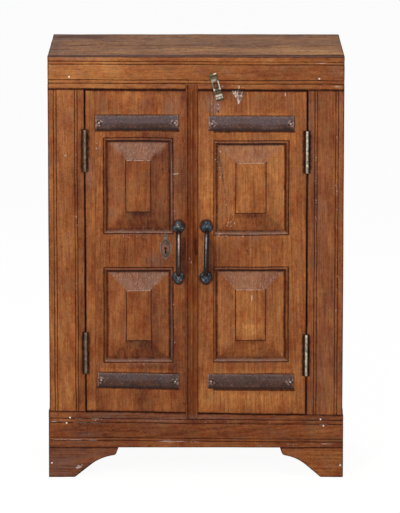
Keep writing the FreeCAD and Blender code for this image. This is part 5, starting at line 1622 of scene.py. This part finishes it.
def rolled(x0, x1, out, z, radius):
    """A barrel that lies across the front, from x0 to x1."""
    rings = [(x, radius) for x in spaced(x0 + BARREL_EASE, x1 - BARREL_EASE, 1.2)]
    turn = full_turn(BARREL_SIDES)
    points = []
    for x, reach in [(x0, radius - BARREL_EASE), *rings, (x1, radius - BARREL_EASE)]:
        ring = [np.full(BARREL_SIDES, x), FRONT - out + reach * np.cos(turn), z + reach * np.sin(turn)]
        points += np.stack(ring, axis=1).tolist()
    return tube(points, BARREL_SIDES)


HASP_IN, HASP_DROP, HASP_TILT = 38.6, 4.6, -16.0
HASP_HALF, HASP_TOP, HASP_FOOT = 7.5, 37.0, 18.0
SLOT_HALF, SLOT_LOW, SLOT_HIGH = 4.5, 8.0, 21.5
KNUCKLE_HALF = 2.55


def hasp(brass):
    """The hasp's leaf on the door and its slotted strap with a rolled top."""
    corner = node_box("right_door_narrow_board")[0][0], node_box("right_door_wide_board")[1][2]
    pivot = np.array([corner[0] + HASP_IN, FRONT, corner[1] - HASP_DROP])

    def plate(x0, x1, z0, z1, out0, out1):
        low = np.array([pivot[0] + x0, FRONT - out1, pivot[2] + z0])
        high = np.array([pivot[0] + x1, FRONT - out0, pivot[2] + z1])
        return board(low, high, 2, FORWARD, arris=0.5, step=1.2, edge_grime=(0.0,) * 3, wear=0.0,
                     rim=(0.8,) * 3)

    def barrel(x0, x1, out, z, radius):
        return rolled(pivot[0] + x0, pivot[0] + x1, out, pivot[2] + z, radius)

    whole, knuckle = (-HASP_HALF, HASP_HALF), (-KNUCKLE_HALF, KNUCKLE_HALF)
    slot_ends, sheet = (SLOT_LOW - 0.5, SLOT_HIGH + 0.5), (0.4, 2.4)
    strap_shape = plate(*whole, SLOT_HIGH, HASP_TOP, *sheet)
    strap_shape += plate(-HASP_HALF, -SLOT_HALF, *slot_ends, *sheet)
    strap_shape += plate(SLOT_HALF, HASP_HALF, *slot_ends, *sheet)
    strap_shape += plate(*whole, 3.4, SLOT_LOW, *sheet)
    strap_shape += plate(*knuckle, -1.0, 4.0, 1.0, 2.6)
    strap_shape += barrel(*whole, 3.0, HASP_TOP, 2.6)
    strap_shape += barrel(*knuckle, 3.4, 0.0, 3.0)
    x, z = strap_shape.points[:, 0] - pivot[0], strap_shape.points[:, 2] - pivot[2]
    # Painted highlights on the strap: its side rails, brighter on the right, its corners by the knuckle,
    # the right end of the rolled top and a pale band above the slot; painted shadow under the rolled top,
    # along the strap's sides above the slot and beside the knuckle
    rail = smooth(4.9, 5.7, np.abs(x)) * smooth(6.9, 6.1, -x) * (0.75 + 0.25 * np.sign(x))
    worn = rail * within(SLOT_LOW - 4.5, SLOT_LOW - 1, SLOT_HIGH, SLOT_HIGH + 3, z)
    worn = np.maximum(worn, smooth(4.6, 3.6, np.abs(z - 5.2)) * smooth(3.6, 5.0, np.abs(x)))
    worn = np.maximum(worn, 1.2 * smooth(HASP_TOP - 0.6, HASP_TOP + 0.4, z) * smooth(0.5, 3.0, x))
    worn = np.maximum(worn, 0.4 * within(SLOT_HIGH, SLOT_HIGH + 1, 27, 28.5, z) * smooth(3.5, 1.5, x))
    strap_shape.paint[:, WEAR_AND_HIGHLIGHT] = worn
    curl_shadow = within(HASP_TOP - 5.0, HASP_TOP - 4.0, HASP_TOP - 2.4, HASP_TOP - 1.6, z)
    dark = np.maximum(curl_shadow, 0.6 * smooth(6.2, 7.2, np.abs(x)) * (z > SLOT_HIGH + 2))
    dark = np.maximum(dark, 0.7 * smooth(2.0, 1.0, np.abs(z - 3.6)) * (np.abs(x) > KNUCKLE_HALF))
    strap_shape.paint[:, GRIME_AND_SHADOW] = np.clip(dark, 0, 1) * (worn < 0.5)

    leaf_shape = plate(*whole, -HASP_FOOT, -1.0, 0.0, 1.6)
    for sign in (-1, 1):
        ends = sorted((sign * (KNUCKLE_HALF + 0.3), sign * HASP_HALF))
        leaf_shape += barrel(*ends, 3.4, 0.0, 3.0)
        leaf_shape += plate(*ends, -3.4, -1.0, 1.0, 2.8)
    x, z = leaf_shape.points[:, 0] - pivot[0], leaf_shape.points[:, 2] - pivot[2]
    # Painted highlights: two bright bands across the leaf; painted shadow along its foot, darker between
    # the bands and by the knuckle
    bands = smooth(2.6, 1.8, np.abs(z + 7.0)) + smooth(1.8, 1.0, np.abs(z + 12.2))
    leaf_shape.paint[:, WEAR_AND_HIGHLIGHT] = bands * smooth(7.4, 6.8, np.abs(x))
    dark = smooth(-14.4, -15.6, z) + 0.75 * smooth(1.0, 0.4, np.abs(z + 9.9)) + 0.35 * smooth(-4.4, -3.0, z)
    leaf_shape.paint[:, GRIME_AND_SHADOW] = np.clip(dark, 0, 1)
    for name, shape, body in (("strap", strap_shape, "hasp_strap"), ("leaf", leaf_shape, "right_door")):
        shape = shape.turned(pivot, HASP_TILT)
        piece("hasp_" + name, shape, brass, body, amount=0.0)


OVAL_HEIGHT = 45.0


def plate_metal(name, node):
    """Thin brass gone brown and olive, with a pale rubbed rim that follows the plate's oval."""
    low, high = node_box(node)
    skin = Nodes(name, metallic=0.35)
    vector, (across, _, along) = skin.place()
    middle = (low[0] + high[0]) / 2
    foot, half_wide, half_tall = low[2], (high[0] - low[0]) / 2, OVAL_HEIGHT / 2
    dx = skin.times(skin.math("SUBTRACT", across, middle), 1 / half_wide)
    dz = skin.times(skin.math("SUBTRACT", along, foot + half_tall), 1 / half_tall)
    ring = skin.length(dx, dz)
    broad = skin.noise(vector, (5.5,) * 3, 3.0, 0.6)
    fine = skin.noise(vector, (1.8,) * 3, 3.0, 0.6)
    colour = skin.mix(skin.step(fine, 0.3, 0.7), (88, 50, 35), (140, 88, 66))
    for place, side in ((foot + 33.0, 4.0), (foot + 12.0, 3.0)):
        away = skin.apart(along, place)
        beside = skin.apart(across, middle + side)
        patch = skin.plus(skin.times(away, 1 / 6.5), skin.times(beside, 1 / 7.0))
        patch = skin.plus(patch, skin.line(broad, 1.6, -0.8))
        colour = skin.mix(skin.step(patch, 1.15, 0.6, 0.9), colour, (54, 52, 38))
    edge = skin.plus(ring, skin.line(fine, 0.3, -0.15))
    colour = skin.mix(skin.step(edge, 0.55, 0.72, 0.85), colour, (58, 46, 32))
    colour = skin.mix(skin.step(edge, 0.8, 0.92, 0.75), colour, (142, 118, 106))
    finial = skin.step(along, foot + OVAL_HEIGHT - 1.5, foot + OVAL_HEIGHT + 0.5)
    flecks = skin.mix(skin.step(fine, 0.5, 0.66), (74, 56, 40), (150, 140, 128))
    colour = skin.mix(finial, colour, flecks)
    shine = skin.line(fine, 0.3, 0.35)
    height = skin.line(skin.step(edge, 0.74, 0.9), 0.8, fine)
    return skin.finish(colour, shine, skin.bump(height, 0.3))


NAIL_SPREAD, LOW_NAILS, LOW_NAIL_RISE = 1.006, 150, 1.7


def nail_places(node):
    """The middle of each nail head of a node, on the front."""
    points = node_points(node)
    groups = []
    for point in points[points[:, 1] < FRONT + 0.2]:
        near = [group for group in groups if np.hypot(group[0][0] - point[0], group[0][2] - point[2]) < 7]
        if near:
            near[0].append(point)
        else:
            groups.append([point])
    return [(np.min(group, axis=0) + np.max(group, axis=0)) / 2 for group in groups]


def metal_parts():
    straps()
    # The handles' worn colours are their painted highlights, and the screws' and the nail heads' worn
    # colours their painted glints
    left_iron = metal("handle_iron_left", (24, 13, 9), (60, 34, 25), scale=10.0, metallic=0.1, rough=0.42,
                      worn=(248, 218, 204), tint=(56, 68, 74), gloss=0.3)
    right_iron = metal("handle_iron_right", (18, 13, 12), (44, 32, 30), scale=10.0, metallic=0.1,
                       rough=0.42, worn=(200, 194, 204), tint=(56, 70, 82), gloss=0.2)
    left_screw = metal("screw_iron_left", (48, 56, 62), (84, 94, 100), scale=3.0, metallic=0.4, rough=0.35,
                       worn=(250, 250, 250))
    right_screw = metal("screw_iron_right", (40, 50, 60), (78, 92, 104), scale=3.0, metallic=0.4, rough=0.4,
                        worn=(140, 156, 172))
    handle("left", 0.0, left_iron, left_screw)
    handle("right", RIGHT_HANDLE_TILT, right_iron, right_screw)

    axes = [hinge_places(side)[0] for side in (-1, 1)]
    # Each hinge's flank shade is painted shade on the sides of its barrel, in the notch
    bronze = metal("dark_bronze", (66, 54, 42), (122, 104, 84), scale=5.0, metallic=0.5, rough=0.42,
                   spots=(64, 48, 34), flank_shade=(axes[0], 2.2, 3.2))
    brass = metal("hinge_brass", (112, 98, 78), (204, 194, 172), scale=5.0, metallic=0.6, rough=0.38,
                  spots=(86, 70, 50), flank_shade=(axes[1], 1.5, 2.7))
    # The hasp's worn colour is the colour of its painted highlights
    olive = metal("tarnished_brass", (74, 60, 36), (120, 104, 68), scale=5.0, metallic=0.4, rough=0.42,
                  spots=(70, 44, 28), worn=(214, 206, 192))
    staple = metal("staple_iron", (52, 44, 34), (96, 84, 64), scale=5.0, metallic=0.5, rough=0.4)
    lock = metal("lock_iron", (48, 42, 40), (86, 76, 70), scale=16.0, metallic=0.6, rough=0.5,
                 spots=(90, 58, 40))
    screw = metal("lock_screws", (96, 96, 96), (150, 150, 148), scale=3.0, metallic=0.7, rough=0.35)
    pale = metal("nail_heads", (176, 150, 130), (240, 226, 210), scale=2.0, metallic=0.0, rough=0.5,
                 worn=(255, 250, 242))
    plate = plate_metal("escutcheon_bronze", "escutcheon")
    hasp(olive)
    finishes = {
        "hinge_door_leaves_left": (bronze, 0.3), "hinge_frame_leaves_left": (bronze, 0.3),
        "hinge_door_leaves_right": (brass, 0.3), "hinge_frame_leaves_right": (brass, 0.3),
        "hinge_pins": (lock, 0.2), "escutcheon": (plate, 0.4), "escutcheon_pins": (plate, 0.3),
        "hasp_pin": (olive, 0.2), "hasp_screws": (olive, 0.3),
        "hasp_staple": (staple, 0.2), "lock_case": (lock, 0.8), "lock_bolt": (staple, 0.6),
        "lock_keeper": (lock, 0.5), "lock_screws": (screw, 0.3),
    }
    for name, (material, width) in finishes.items():
        eased(name, material, width)
    places = []
    for x, _, z in nail_places("frame_nails"):
        places.append(np.array([x * NAIL_SPREAD, FRONT, z + (LOW_NAIL_RISE if z < LOW_NAILS else 0)]))
    domes("frame_nails", "carcass", places, 1.9, 0.9, pale, glint_from=0.2)


# Camera, floor and light

FRAME_TALL, FOCAL_LENGTH, SENSOR = 513.0, 4003.0, 36.0
CAMERA_X, CAMERA_AWAY, CAMERA_UP, CAMERA_DIP = 8.1, 7958.0, 1931.2, 10.485


def add_camera():
    """The photograph's camera, 8 m in front and looking down by 10.5 degrees, frame 400 by 513."""
    data = bpy.data.cameras.new("view")
    data.sensor_width = SENSOR
    data.lens = FOCAL_LENGTH * SENSOR / FRAME_TALL
    data.clip_end = 50.0
    camera = bpy.data.objects.new("view", data)
    camera.location = (CAMERA_X * MM, (FRONT - CAMERA_AWAY) * MM, CAMERA_UP * MM)
    camera.rotation_euler = (math.radians(90.0 - CAMERA_DIP), 0.0, 0.0)
    bpy.context.scene.collection.objects.link(camera)
    bpy.context.scene.camera = camera


def shader(tree, kind, colour=None, strength=None):
    """A shader with this colour and strength."""
    made = tree.nodes.new("ShaderNode" + kind)
    if colour:
        made.inputs[0].default_value = (*colour, 1.0)
    if strength is not None:
        made.inputs[1].default_value = strength
    return made


def background_switch(tree, plain, white, output):
    """Shows one shader to camera, glossy and transmission rays and the other to the rest."""
    path = tree.nodes.new("ShaderNodeLightPath")
    seen = path.outputs["Is Camera Ray"]
    for kind in ("Is Glossy Ray", "Is Transmission Ray"):
        either = tree.nodes.new("ShaderNodeMath")
        either.operation = "MAXIMUM"
        tree.links.new(seen, either.inputs[0])
        tree.links.new(path.outputs[kind], either.inputs[1])
        seen = either.outputs[0]
    mix = tree.nodes.new("ShaderNodeMixShader")
    for socket, value in zip(mix.inputs, (seen, plain.outputs[0], white.outputs[0])):
        tree.links.new(value, socket)
    tree.links.new(mix.outputs[0], tree.nodes[output].inputs[0])


def add_world():
    world = bpy.data.worlds.new("studio")
    world.use_nodes = True
    tree = world.node_tree
    soft = tree.nodes["Background"]
    soft.inputs[0].default_value = (0.96, 0.97, 0.98, 1.0)
    soft.inputs[1].default_value = 0.19
    background_switch(tree, soft, shader(tree, "Background", (1.0, 1.0, 1.0), 1.0), "World Output")
    bpy.context.scene.world = world


FLOOR_REACH = 14.0


def add_floor():
    mesh = bpy.data.meshes.new("floor")
    corners = [(x * FLOOR_REACH, y * FLOOR_REACH, 0) for x, y in ((-1, -1), (1, -1), (1, 1), (-1, 1))]
    mesh.from_pydata(corners, [], [(0, 1, 2, 3)])
    floor = bpy.data.objects.new("floor", mesh)
    bpy.context.scene.collection.objects.link(floor)
    material = bpy.data.materials.new("floor_white")
    material.use_nodes = True
    tree = material.node_tree
    tree.nodes.remove(tree.nodes["Principled BSDF"])
    matt, thin = (shader(tree, "BsdfDiffuse", (grey,) * 3) for grey in (0.86, 0.1))
    shown = shader(tree, "AddShader")
    for socket, each in zip(shown.inputs, (thin, shader(tree, "Emission", strength=0.95))):
        tree.links.new(each.outputs[0], socket)
    background_switch(tree, matt, shown, "Material Output")
    mesh.materials.append(material)


def area_light(name, place, size, power, colour=(1.0, 1.0, 1.0)):
    """A square softbox that faces the middle of the cabinet. The place is in metres."""
    data = bpy.data.lights.new(name, "AREA")
    data.shape = "SQUARE"
    data.size = size
    data.energy = power
    data.color = colour
    light = bpy.data.objects.new(name, data)
    light.location = place
    aim = Vector((0.0, 0.0, 0.45)) - Vector(place)
    light.rotation_euler = aim.to_track_quat("-Z", "Y").to_euler()
    bpy.context.scene.collection.objects.link(light)


def add_lights():
    area_light("overhead", (0.2, -1.9, 2.5), 1.7, 17.0, (1.0, 0.985, 0.97))
    area_light("key", (-0.8, -2.6, 1.25), 0.4, 26.0, (1.0, 0.98, 0.95))
    area_light("second", (1.9, -2.4, 1.7), 0.25, 15.0, (1.0, 0.975, 0.94))
    area_light("fill", (-2.3, -1.9, 1.1), 1.6, 4.0, (0.97, 0.98, 1.0))
    area_light("back_top", (-0.4, 1.2, 2.6), 1.4, 17.0)


front_frame()
feet()
doors()
astragal()
sides()
top()
back()
inside()
metal_parts()
add_camera()
add_world()
add_floor()
add_lights()
bpy.context.scene.view_settings.view_transform = "Standard"
